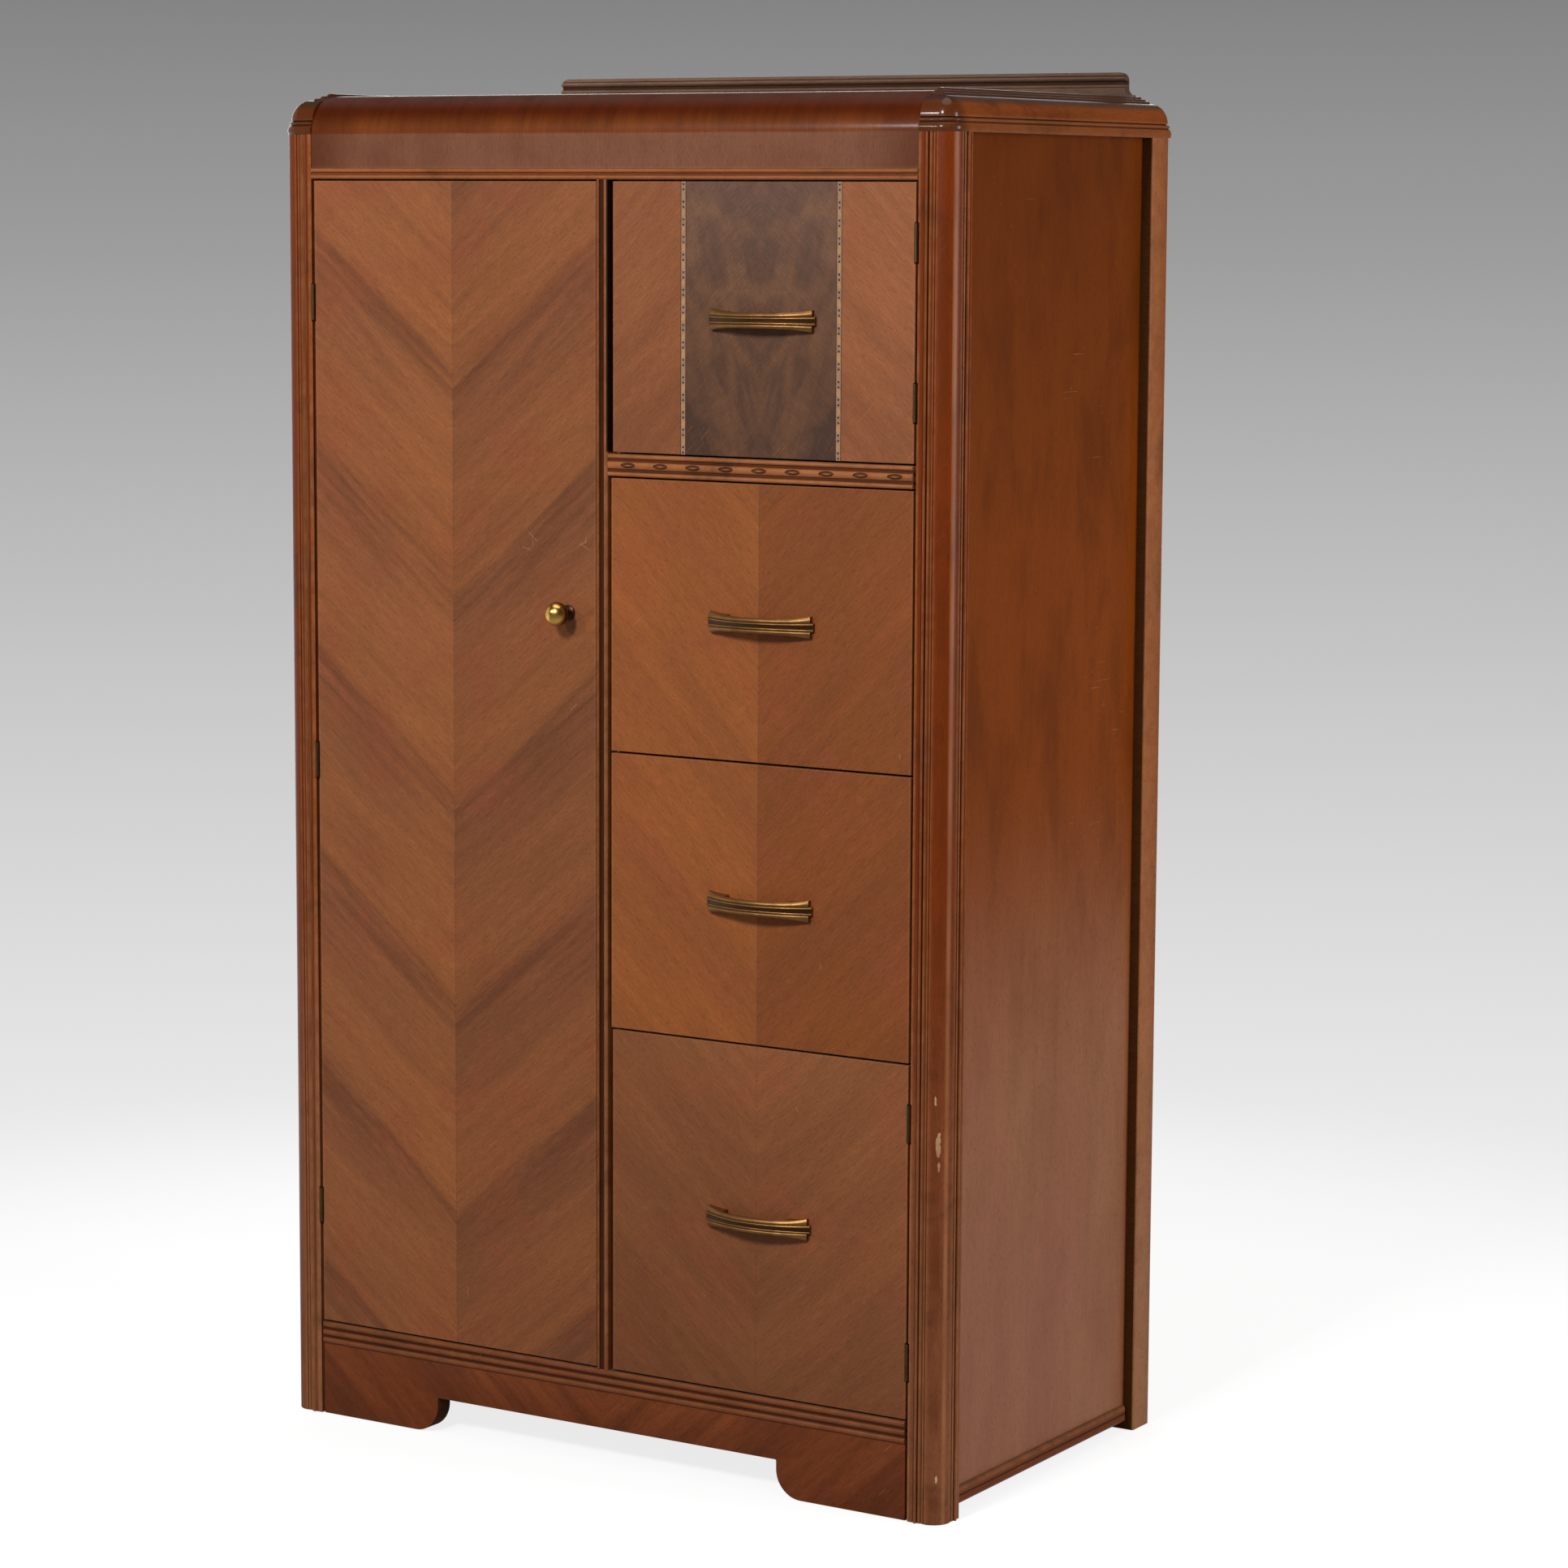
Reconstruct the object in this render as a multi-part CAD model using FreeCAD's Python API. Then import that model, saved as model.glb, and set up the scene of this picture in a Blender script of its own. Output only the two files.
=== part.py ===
"""Waterfall chifforobe: a hanging wardrobe on the left, and on the right a small
cupboard, two drawers and a lower cupboard, between four full-height corner posts.

Millimetres, +Z up, +X to the right as seen from the front, front towards -Y.
While it is built, the front faces of the posts lie at y = 0 and the floor at z = 0.
Each piece is moved by ORIGIN_SHIFT as it is written, so that the origin ends up
under the middle of the whole object, on the floor.
"""
import FreeCAD, Part
import math
import os

V = FreeCAD.Vector

# ---- Carcass ------------------------------
CARCASS_WIDTH = 916.0          # over the outer faces of the posts
CARCASS_DEPTH = 512.0          # front face to back face of the posts
POST_SIZE = 43.5               # square section of every post
POST_CORNER_RADIUS = 21.0      # rounded outer corner of a front post
REAR_POST_RADIUS = 6.0         # eased outer corner of a rear post
SIDE_RECESS = 13.5             # side panel behind the outer faces of the posts
SIDE_THICKNESS = 10.0
BACK_THICKNESS = 6.0
BACK_LAP = 20.0                # lap of the back panel over each rear post
BOARD_THICKNESS = 16.0         # bottom, cupboard floor and drawer deck
PARTITION_THICKNESS = 19.0
PARTITION_OFFSET = 1.0         # middle of the partition, right of the centre

# ---- Reeding on the two inner edges of a front post, measured along its face -----
STRIP_WIDTH = 8.5
COVE_WIDTH = 4.5
COVE_DEPTH = 4.2
REED_WIDTH = 4.2
FINE_REED_WIDTH = 3.2
QUIRK_WIDTH = 1.2
REED_SINK = 1.2                # the valleys between the reeds lie this deep

# ---- Front, from the floor up ------------------------------
APRON_HEIGHT = 88.5
BASE_MOULDING_HEIGHT = 26.5
LOWER_DOOR_HEIGHT = 404.5
LOWER_DRAWER_HEIGHT = 320.5
UPPER_DRAWER_HEIGHT = 313.5
CARVED_RAIL_HEIGHT = 25.5
UPPER_DOOR_HEIGHT = 305.5
FRIEZE_HEIGHT = 12.5
FASCIA_HEIGHT = 39.5           # flat part of the waterfall front
ROLL_RADIUS = 45.0             # outer radius of the waterfall roll
GAP = 2.0                      # between a door or drawer and the moulding beside it
SEAM = 2.5                     # between two fronts that meet edge to edge
HINGE_SIDE_GAP = 3.0           # between a front and the post next to it
LATCH_GAP = 6.0                # between the right-hand doors and the centre moulding
DRAWER_SIDE_GAP = 4.0          # between the drawers and the centre moulding
STOP_GAP = 0.5                 # between a closed front and the rail it stops on
FRONT_THICKNESS = 19.0
FACE_SET = 1.0                 # doors and drawers behind the faces of the posts

# ---- Mouldings ------------------------------
MOULDING_PROUD = 2.0           # reeds stand this far in front of the posts
MOULDING_VALLEY = 1.0          # valleys between reeds, behind the faces of the posts
MOULDING_VALLEY_WIDTH = 2.6
CARVED_REED_WIDTH = 5.3        # outer reeds of the carved rail, the middle one takes the rest
CARVED_VALLEY_WIDTH = 3.3
OVAL_COUNT = 9
OVAL_PITCH = 44.0
OVAL_FROM_END = 28.5           # first carved oval from the left end of the rail
OVAL_LENGTH = 19.0
OVAL_HEIGHT = 6.2
OVAL_GROOVE = 1.6
OVAL_DEPTH = 1.2
CENTRE_MOULDING_WIDTH = 15.0
CENTRE_LEFT_REED_WIDTH = 3.6
CENTRE_VALLEY_WIDTH = 6.0
SIDE_MOULDING_HEIGHT = 18.0
SIDE_MOULDING_LIFT = 13.0      # underside above the floor
SIDE_MOULDING_PROUD = 8.5
SIDE_MOULDING_END_GAP = 5.0    # rounded rear end short of the rear post

# ---- Apron and base ------------------------------
APRON_THICKNESS = 25.0
APRON_ARCH_HEIGHT = 43.5
FOOT_WIDTH = 171.5             # straight foot, from the end of the apron to the arch
FOOT_RADIUS = 33.0             # rounded inner corner of a foot
CORNER_BLOCK = 40.0
CORNER_BLOCK_HEIGHT = 75.0
REAR_RAIL_HEIGHT = 50.0
REAR_RAIL_THICKNESS = 22.0

# ---- Waterfall top, caps and gallery ------------------------------
TOP_THICKNESS = 19.5
TOP_RAIL_DEPTH = 24.5
TOP_RAIL_DROP = 20.0           # of the rail behind the top edges of the doors
CAP_OVERHANG = 1.5             # of the lowest reed past the faces of the posts
CAP_REED_HEIGHT = 9.5
CAP_FINE_REED_HEIGHT = 3.6
CAP_QUIRK = 1.6
CAP_ROUND_RADIUS = 23.5
CAP_ROUND_INSET = 3.5          # foot of the quarter round behind the faces of the posts
CAP_RIB_RISE = 2.75
CAP_RIBS = 3
GALLERY_THICKNESS = 12.0
GALLERY_HEIGHT = 32.0
GALLERY_STEP_HEIGHT = 14.0     # plain lower step
GALLERY_END_GAP = 2.5          # between the gallery and the cap at each end
GALLERY_STEP_COVE = 9.0        # concave run from the step up to the end of the rail
GALLERY_END_RADIUS = 10.0
GALLERY_SET_BACK = 2.0         # moulded rail behind the face of the step

# ---- Hinges ------------------------------
HINGE_HEIGHT = 41.0
KNUCKLE_RADIUS = 2.6
PIN_RADIUS = 1.3
PIN_CLEARANCE = 0.05
KNUCKLES = 5
KNUCKLE_GAP = 0.2
LEAF_THICKNESS = 1.1
LEAF_DEPTH = 17.0
LEAF_CLEARANCE = 0.6           # between a leaf and the knuckles of the other leaf
KNUCKLE_CLEARANCE = 0.35       # round the knuckles, in the post and the door
PIN_HEAD_HEIGHT = 1.2
SCREW_RADIUS = 1.5
SCREW_HEAD_RADIUS = 2.8
SCREW_HEAD_HEIGHT = 0.2
SCREW_LENGTH = 14.0
HINGE_FROM_END = 143.0         # middle of the outer hinges from the ends of the tall door
SMALL_HINGE_FROM_END = 66.0

# ---- Knob and turn latch ------------------------------
KNOB_FROM_EDGE = 38.5          # axis from the free edge of the tall door
KNOB_HEIGHT = 1003.0
KNOB_RADIUS = 14.0
KNOB_THICKNESS = 22.0
KNOB_PROJECTION = 37.0         # from the face of the door to the front of the knob
KNOB_NECK_RADIUS = 4.6
KNOB_FOOT_RADIUS = 8.0
KNOB_FOOT_HEIGHT = 1.6
TURN_CLEARANCE = 0.3           # between the turning latch parts and the door
SPINDLE_RADIUS = 4.0
SPINDLE_CLEARANCE = 0.05
TONGUE_LENGTH = 45.0
TONGUE_WIDTH = 10.0
TONGUE_THICKNESS = 3.0
TONGUE_SET = 1.0               # tongue behind the door
TONGUE_ROOM = 2.0              # room round the tongue in its notch

# ---- Bow pulls ------------------------------
PULL_LENGTH = 134.0
PULL_BOW = 19.0                # from the ends to the middle of the bow
PULL_BAND = 4.0                # thickness of the bow
PULL_LEG = 25.0                # solid end of the bow, bearing on the wood
PULL_MID_HEIGHT = 17.0
PULL_END_HEIGHT = 26.0
PULL_TONGUE = 3.0              # middle band runs past the flared ends
PULL_CHANNEL_HEIGHT = 5.0
PULL_CHANNEL_DEPTH = 1.0
PULL_BOLT_SPACING = 109.0
PULL_SHIFT = 4.0               # pulls sit a little to the hinge side of the middle
BOLT_RADIUS = 2.0
BOLT_CLEARANCE = 0.3
BOLT_HEAD_RADIUS = 4.5
BOLT_HEAD_HEIGHT = 2.5

# ---- Drawers and their frame ------------------------------
DRAWER_SIDE_THICKNESS = 12.0
DRAWER_DEPTH = 440.0           # back of the box behind the faces of the posts
DRAWER_SIDE_ROOM = 6.0         # box side from the partition and from the post
DRAWER_HEADROOM = 5.0
DRAWER_RUN_GAP = 0.5
DRAWER_BOTTOM_THICKNESS = 5.0
DRAWER_BOTTOM_LIFT = 8.0
DRAWER_BACK_DROP = 15.0
RAIL_THICKNESS = 19.0
RAIL_DEPTH = 50.0
RUNNER_WIDTH = 24.0
GUIDE_HEIGHT = 20.0

# ---- Catches ------------------------------
CATCH_SIZE = 14.0
CATCH_SET = 6.0                # spring clip behind the closed door
STRIKE_THICKNESS = 2.0
STRIKE_CLEARANCE = 0.3
STRIKE_WIDTH = 8.0
STRIKE_REACH = 16.0
STRIKE_PLATE = 18.0
STRIKE_PLATE_THICKNESS = 1.5

# ---- Hanging rod ------------------------------
ROD_RADIUS = 12.5
ROD_DROP = 150.0               # axis below the top edge of the tall door's opening
ROD_CLEARANCE = 0.4
SOCKET_RADIUS = 24.0
SOCKET_LENGTH = 12.0
SOCKET_PLATE = 3.0

# ---- Back panel screws ------------------------------
BACK_SCREW_RADIUS = 3.5
BACK_SCREW_HEIGHT = 1.4
BACK_SCREW_ROWS = 7
BACK_SCREW_MARGIN = 60.0

# ---- Places worked out from the sizes ------------------------------
HALF = CARCASS_WIDTH / 2
INNER = HALF - POST_SIZE                          # inner face of the right-hand posts
PANEL_OUT = HALF - SIDE_RECESS
PANEL_IN = PANEL_OUT - SIDE_THICKNESS
REAR_POST_Y = CARCASS_DEPTH - POST_SIZE
BACK_Y = CARCASS_DEPTH - BACK_THICKNESS           # front face of the back panel
PARTITION_LEFT = PARTITION_OFFSET - PARTITION_THICKNESS / 2
PARTITION_RIGHT = PARTITION_OFFSET + PARTITION_THICKNESS / 2
CENTRE_LEFT = PARTITION_OFFSET - CENTRE_MOULDING_WIDTH / 2
CENTRE_RIGHT = PARTITION_OFFSET + CENTRE_MOULDING_WIDTH / 2
FRONT_BACK = FACE_SET + FRONT_THICKNESS           # back face of every closed front
STOP_Y = FRONT_BACK + STOP_GAP                    # front face of rails and boards

BASE_TOP = APRON_HEIGHT + BASE_MOULDING_HEIGHT
LOWER_DOOR_Z = BASE_TOP + GAP
LOWER_DOOR_TOP = LOWER_DOOR_Z + LOWER_DOOR_HEIGHT
LOWER_DRAWER_Z = LOWER_DOOR_TOP + SEAM
LOWER_DRAWER_TOP = LOWER_DRAWER_Z + LOWER_DRAWER_HEIGHT
UPPER_DRAWER_Z = LOWER_DRAWER_TOP + SEAM
UPPER_DRAWER_TOP = UPPER_DRAWER_Z + UPPER_DRAWER_HEIGHT
CARVED_Z = UPPER_DRAWER_TOP + GAP
CARVED_TOP = CARVED_Z + CARVED_RAIL_HEIGHT
UPPER_DOOR_Z = CARVED_TOP + GAP
UPPER_DOOR_TOP = UPPER_DOOR_Z + UPPER_DOOR_HEIGHT
FRIEZE_Z = UPPER_DOOR_TOP + GAP
FASCIA_Z = FRIEZE_Z + FRIEZE_HEIGHT
ROLL_Z = FASCIA_Z + FASCIA_HEIGHT
POST_HEIGHT = ROLL_Z
TOP_Z = ROLL_Z + ROLL_RADIUS
CEILING_Z = TOP_Z - TOP_THICKNESS
TOP_RAIL_Z = UPPER_DOOR_TOP - TOP_RAIL_DROP

FRONT_RIGHT = INNER - HINGE_SIDE_GAP              # hinge edge of the right-hand fronts
TALL_DOOR_RIGHT = CENTRE_LEFT - GAP
DOOR_LEFT = CENTRE_RIGHT + LATCH_GAP
DRAWER_LEFT = CENTRE_RIGHT + DRAWER_SIDE_GAP
HINGE_X = INNER - HINGE_SIDE_GAP / 2
PULL_X = (DRAWER_LEFT + FRONT_RIGHT) / 2 + PULL_SHIFT
DRAWER_RAIL_Z = (LOWER_DRAWER_TOP + UPPER_DRAWER_Z - RAIL_THICKNESS) / 2
DECK_Z = (LOWER_DOOR_TOP + LOWER_DRAWER_Z - BOARD_THICKNESS) / 2
BOX_LEFT = PARTITION_RIGHT + DRAWER_SIDE_ROOM
BOX_RIGHT = INNER - DRAWER_SIDE_ROOM
KNOB_X = TALL_DOOR_RIGHT - KNOB_FROM_EDGE
TONGUE_Y = FRONT_BACK + TONGUE_SET
ROD_Y = (STOP_Y + BACK_Y) / 2
ROD_Z = UPPER_DOOR_TOP - ROD_DROP

FRONTMOST = FACE_SET - KNOB_PROJECTION            # front of the knob
REARMOST = CARCASS_DEPTH + BACK_SCREW_HEIGHT      # heads of the back panel's screws
ORIGIN_SHIFT = V(0, -(FRONTMOST + REARMOST) / 2, 0)


# ---- Helpers ------------------------------
def box(x0, x1, y0, y1, z0, z1):
    return Part.makeBox(x1 - x0, y1 - y0, z1 - z0, V(x0, y0, z0))


def rod(radius, length, base, direction):
    return Part.makeCylinder(radius, length, base, direction)


def outline(points, place):
    """A closed face from 2-D points. A triple (mid, end, "arc") is an arc from the
    point before it; place turns a 2-D point into a 3-D one."""
    edges = []
    start = points[0]
    for item in points[1:] + [points[0]]:
        if len(item) == 3:
            middle, end, _ = item
            edges.append(Part.Arc(place(start), place(middle), place(end)).toShape())
            start = end
        else:
            if place(item).distanceToPoint(place(start)) > 1e-6:
                edges.append(Part.makeLine(place(start), place(item)))
            start = item
    return Part.Face(Part.Wire(edges))


def in_plan(z):
    return lambda p: V(p[0], p[1], z)


def in_side_view(x):
    return lambda p: V(x, p[0], p[1])


def in_front_view(y):
    return lambda p: V(p[0], y, p[1])


def mirrored(shape):
    return shape.mirror(V(0, 0, 0), V(1, 0, 0))


def bead(start, end, height):
    """An arc between two points of a vertical profile that bulges by height to the left."""
    du, dv = end[0] - start[0], end[1] - start[1]
    length = math.hypot(du, dv)
    middle = ((start[0] + end[0]) / 2 - dv / length * height,
              (start[1] + end[1]) / 2 + du / length * height)
    return (middle, end, "arc")


def write(name, *shapes):
    """Write one node's solids to its STEP file, moved to the object's origin."""
    shape = shapes[0] if len(shapes) == 1 else Part.makeCompound(list(shapes))
    shape = shape.copy()
    shape.translate(ORIGIN_SHIFT)
    shape.exportStep("parts/" + name + ".step")


# ---- Posts and panels ------------------------------
def face_reeding():
    """Points along one face of a front post, from its inner edge to the rounded corner:
    (distance along the face, depth below it)."""
    cove_end = STRIP_WIDTH + COVE_WIDTH
    reed_end = cove_end + REED_WIDTH
    fine_start = reed_end + QUIRK_WIDTH
    fine_end = fine_start + FINE_REED_WIDTH
    corner_start = POST_SIZE - POST_CORNER_RADIUS
    return [
        (0.0, 0.0),
        (STRIP_WIDTH, 0.0),
        ((STRIP_WIDTH + COVE_WIDTH / 2, COVE_DEPTH), (cove_end, REED_SINK), "arc"),
        ((cove_end + REED_WIDTH / 2, 0.0), (reed_end, REED_SINK), "arc"),
        (reed_end + QUIRK_WIDTH / 2, 2 * REED_SINK),
        (fine_start, REED_SINK),
        ((fine_start + FINE_REED_WIDTH / 2, REED_SINK / 3), (fine_end, REED_SINK), "arc"),
        (corner_start, 0.0),
    ]


def swapped(item):
    """A point or arc of the front face's reeding, carried to the side face."""
    if len(item) == 3:
        return (swapped(item[0]), swapped(item[1]), "arc")
    return (HALF - item[1], POST_SIZE - item[0])


def on_front(item):
    if len(item) == 3:
        return (on_front(item[0]), on_front(item[1]), "arc")
    return (INNER + item[0], item[1])


def reversed_path(items):
    """The same points and arcs in the opposite order."""
    ends = [item[1] if len(item) == 3 else item for item in items]
    path = [ends[-1]]
    for index in range(len(items) - 1, 0, -1):
        item = items[index]
        path.append((item[0], ends[index - 1], "arc") if len(item) == 3 else ends[index - 1])
    return path


def hinge_heights(bottom, height, from_end, count):
    """Middle heights of a door's hinges, the outer ones from_end from its edges."""
    step = (height - 2 * from_end) / (count - 1)
    return [bottom + from_end + index * step for index in range(count)]


TALL_HINGES = hinge_heights(LOWER_DOOR_Z, UPPER_DOOR_TOP - LOWER_DOOR_Z, HINGE_FROM_END, 3)
UPPER_HINGES = hinge_heights(UPPER_DOOR_Z, UPPER_DOOR_HEIGHT, SMALL_HINGE_FROM_END, 2)
LOWER_HINGES = hinge_heights(LOWER_DOOR_Z, LOWER_DOOR_HEIGHT, SMALL_HINGE_FROM_END, 2)


def knuckle_room(heights):
    """What is cut from a post and a door for the knuckles of the hinges at these heights."""
    length = HINGE_HEIGHT + 2 * (KNUCKLE_CLEARANCE + PIN_HEAD_HEIGHT)
    radius = KNUCKLE_RADIUS + KNUCKLE_CLEARANCE
    rooms = [rod(radius, length, V(HINGE_X, 0, z - length / 2), V(0, 0, 1)) for z in heights]
    return Part.makeCompound(rooms)


def hinged(shape, heights, on_frame):
    """The same shape with room for the knuckles and holes for the screws of its hinges."""
    return shape.cut(knuckle_room(heights)).cut(Part.makeCompound(hinge_screws(heights, on_frame)))


def front_post(heights):
    """The right-hand front post, reeded on both faces, cut for the hinge knuckles."""
    front = [on_front(item) for item in face_reeding()]
    side = reversed_path([swapped(item) for item in face_reeding()])
    bend = POST_CORNER_RADIUS * (1 - math.sqrt(0.5))
    corner_arc = ((HALF - bend, bend), side[0], "arc")
    points = front + [corner_arc] + side[1:] + [(INNER, POST_SIZE)]
    solid = outline(points, in_plan(0)).extrude(V(0, 0, POST_HEIGHT))
    return hinged(solid, heights, True)


def rear_post():
    r = REAR_POST_RADIUS
    bend = r * (1 - math.sqrt(0.5))
    points = [(INNER, REAR_POST_Y), (HALF, REAR_POST_Y), (HALF, CARCASS_DEPTH - r),
              ((HALF - bend, CARCASS_DEPTH - bend), (HALF - r, CARCASS_DEPTH), "arc"),
              (INNER + BACK_LAP, CARCASS_DEPTH), (INNER + BACK_LAP, BACK_Y), (INNER, BACK_Y)]
    return outline(points, in_plan(0)).extrude(V(0, 0, POST_HEIGHT))


def side_panel():
    return box(PANEL_IN, PANEL_OUT, POST_SIZE, REAR_POST_Y, SIDE_MOULDING_LIFT, POST_HEIGHT)


def side_base_moulding():
    """Two reeds along the foot of a side panel, rounded off at the rear end."""
    z0 = SIDE_MOULDING_LIFT
    z1 = z0 + SIDE_MOULDING_HEIGHT
    middle = (z0 + z1) / 2
    face = PANEL_OUT + SIDE_MOULDING_PROUD - SIDE_MOULDING_HEIGHT / 8
    points = [(PANEL_OUT, z0), (face, z0),
              bead((face, z0), (face, middle), -SIDE_MOULDING_HEIGHT / 8),
              bead((face, middle), (face - 2, z1), -SIDE_MOULDING_HEIGHT / 8),
              (PANEL_OUT, z1)]
    y1 = REAR_POST_Y - SIDE_MOULDING_END_GAP
    bar = outline(points, in_front_view(POST_SIZE)).extrude(V(0, y1 - POST_SIZE, 0))
    radius = SIDE_MOULDING_PROUD
    corner = box(PANEL_OUT, PANEL_OUT + 2 * radius, y1 - radius, y1, z0, z1)
    keep = rod(radius, SIDE_MOULDING_HEIGHT, V(PANEL_OUT, y1 - radius, z0), V(0, 0, 1))
    return bar.cut(corner.cut(keep))


def board(x0, x1, z):
    """A level board from the stop line to the back panel, notched round the posts."""
    whole = box(x0, x1, STOP_Y, BACK_Y, z, z + BOARD_THICKNESS)
    for x in (-HALF, INNER):
        whole = whole.cut(box(x, x + POST_SIZE, 0, POST_SIZE, 0, POST_HEIGHT))
        whole = whole.cut(box(x, x + POST_SIZE, REAR_POST_Y, CARCASS_DEPTH, 0, POST_HEIGHT))
    return whole


def centre_partition():
    panel = box(PARTITION_LEFT, PARTITION_RIGHT, STOP_Y, BACK_Y, BASE_TOP, CEILING_Z)
    clear_y = FACE_SET + ROLL_RADIUS
    panel = panel.cut(box(-INNER, INNER, STOP_Y, clear_y, TOP_RAIL_Z, CEILING_Z))
    reach = KNOB_X + TONGUE_LENGTH + TONGUE_ROOM
    sweep = math.sqrt(TONGUE_LENGTH ** 2 - KNOB_FROM_EDGE ** 2) + TONGUE_WIDTH
    notch = box(PARTITION_LEFT, reach, STOP_Y, TONGUE_Y + TONGUE_THICKNESS + TONGUE_ROOM,
                KNOB_HEIGHT - sweep, KNOB_HEIGHT + TONGUE_WIDTH / 2 + TONGUE_ROOM)
    return panel.cut(notch)


# ---- Mouldings on the front ------------------------------
def reeded_profile(start, widths, valley):
    """A profile of reeds side by side, as (depth, distance): widths are the reeds' widths,
    with a sunk valley between each two."""
    points = [(STOP_Y, start), (0.0, start)]
    at = start
    for index, width in enumerate(widths):
        if index:
            points += [(MOULDING_VALLEY, at), (MOULDING_VALLEY, at + valley), (0.0, at + valley)]
            at += valley
        points.append(bead((0.0, at), (0.0, at + width), MOULDING_PROUD))
        at += width
    points.append((STOP_Y, at))
    return points


def level_moulding(x0, x1, z, widths, valley):
    face = outline(reeded_profile(z, widths, valley), in_side_view(x0))
    return face.extrude(V(x1 - x0, 0, 0))


def even_moulding(x0, x1, z, height, count):
    """A level moulding of equal reeds that together fill the height."""
    width = (height - (count - 1) * MOULDING_VALLEY_WIDTH) / count
    return level_moulding(x0, x1, z, [width] * count, MOULDING_VALLEY_WIDTH)


def oval_prism(x, z, length, height, y0, y1):
    ellipse = Part.Ellipse(V(0, 0, 0), length / 2, height / 2).toShape()
    ellipse.rotate(V(0, 0, 0), V(1, 0, 0), 90)
    ellipse.translate(V(x, y0, z))
    return Part.Face(Part.Wire([ellipse])).extrude(V(0, y1 - y0, 0))


def carved_rail(x0, x1):
    """Three reeds, the wide middle one carved with a row of ovals."""
    middle = CARVED_RAIL_HEIGHT - 2 * (CARVED_REED_WIDTH + CARVED_VALLEY_WIDTH)
    widths = [CARVED_REED_WIDTH, middle, CARVED_REED_WIDTH]
    rail = level_moulding(x0, x1, CARVED_Z, widths, CARVED_VALLEY_WIDTH)
    z = CARVED_Z + CARVED_RAIL_HEIGHT / 2
    y0, y1 = -MOULDING_PROUD - 1, -MOULDING_PROUD + OVAL_DEPTH
    grooves = []
    for index in range(OVAL_COUNT):
        x = x0 + OVAL_FROM_END + index * OVAL_PITCH
        inner_length, inner_height = OVAL_LENGTH - 2 * OVAL_GROOVE, OVAL_HEIGHT - 2 * OVAL_GROOVE
        grooves.append(oval_prism(x, z, OVAL_LENGTH, OVAL_HEIGHT, y0, y1).cut(
            oval_prism(x, z, inner_length, inner_height, y0, y1)))
    return rail.cut(Part.makeCompound(grooves))


def centre_moulding():
    right_reed = CENTRE_MOULDING_WIDTH - CENTRE_LEFT_REED_WIDTH - CENTRE_VALLEY_WIDTH
    points = reeded_profile(CENTRE_LEFT, [CENTRE_LEFT_REED_WIDTH, right_reed], CENTRE_VALLEY_WIDTH)

    def place(item):
        return V(item[1], item[0], BASE_TOP)

    return outline(points, place).extrude(V(0, 0, FRIEZE_Z - BASE_TOP))


def apron():
    """Bracket-footed apron: a low arch between two feet with rounded inner corners."""
    end = INNER - HINGE_SIDE_GAP
    arch = end - FOOT_WIDTH
    r = FOOT_RADIUS
    bend = r * (1 - math.sqrt(0.5))
    points = [(-end, 0), (-arch - r, 0), ((-arch - bend, bend), (-arch, r), "arc"),
              (-arch, APRON_ARCH_HEIGHT), (arch, APRON_ARCH_HEIGHT), (arch, r),
              ((arch + bend, bend), (arch + r, 0), "arc"), (end, 0),
              (end, APRON_HEIGHT), (-end, APRON_HEIGHT)]
    return outline(points, in_front_view(FACE_SET)).extrude(V(0, APRON_THICKNESS, 0))


def corner_blocks():
    z1 = APRON_HEIGHT + BASE_MOULDING_HEIGHT - BOARD_THICKNESS
    z0 = z1 - CORNER_BLOCK_HEIGHT
    front_y = FACE_SET + APRON_THICKNESS
    rear_y = BACK_Y - REAR_RAIL_THICKNESS - CORNER_BLOCK
    blocks = []
    for y in (front_y, rear_y):
        block = box(INNER - CORNER_BLOCK, INNER, y, y + CORNER_BLOCK, z0, z1)
        blocks += [block, mirrored(block)]
    return blocks


# ---- Waterfall top, caps, gallery ------------------------------
def waterfall_top():
    """Flat fascia, quarter-round roll and flat top in one bent panel."""
    y0 = FACE_SET
    yc = y0 + ROLL_RADIUS
    inner = ROLL_RADIUS - TOP_THICKNESS
    c = math.sqrt(0.5)
    points = [(y0, FASCIA_Z), (y0, ROLL_Z),
              ((yc - ROLL_RADIUS * c, ROLL_Z + ROLL_RADIUS * c), (yc, TOP_Z), "arc"),
              (CARCASS_DEPTH, TOP_Z), (CARCASS_DEPTH, CEILING_Z), (yc, CEILING_Z),
              ((yc - inner * c, ROLL_Z + inner * c), (y0 + TOP_THICKNESS, ROLL_Z), "arc"),
              (y0 + TOP_THICKNESS, FASCIA_Z)]
    return outline(points, in_side_view(-INNER)).extrude(V(2 * INNER, 0, 0))


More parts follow.
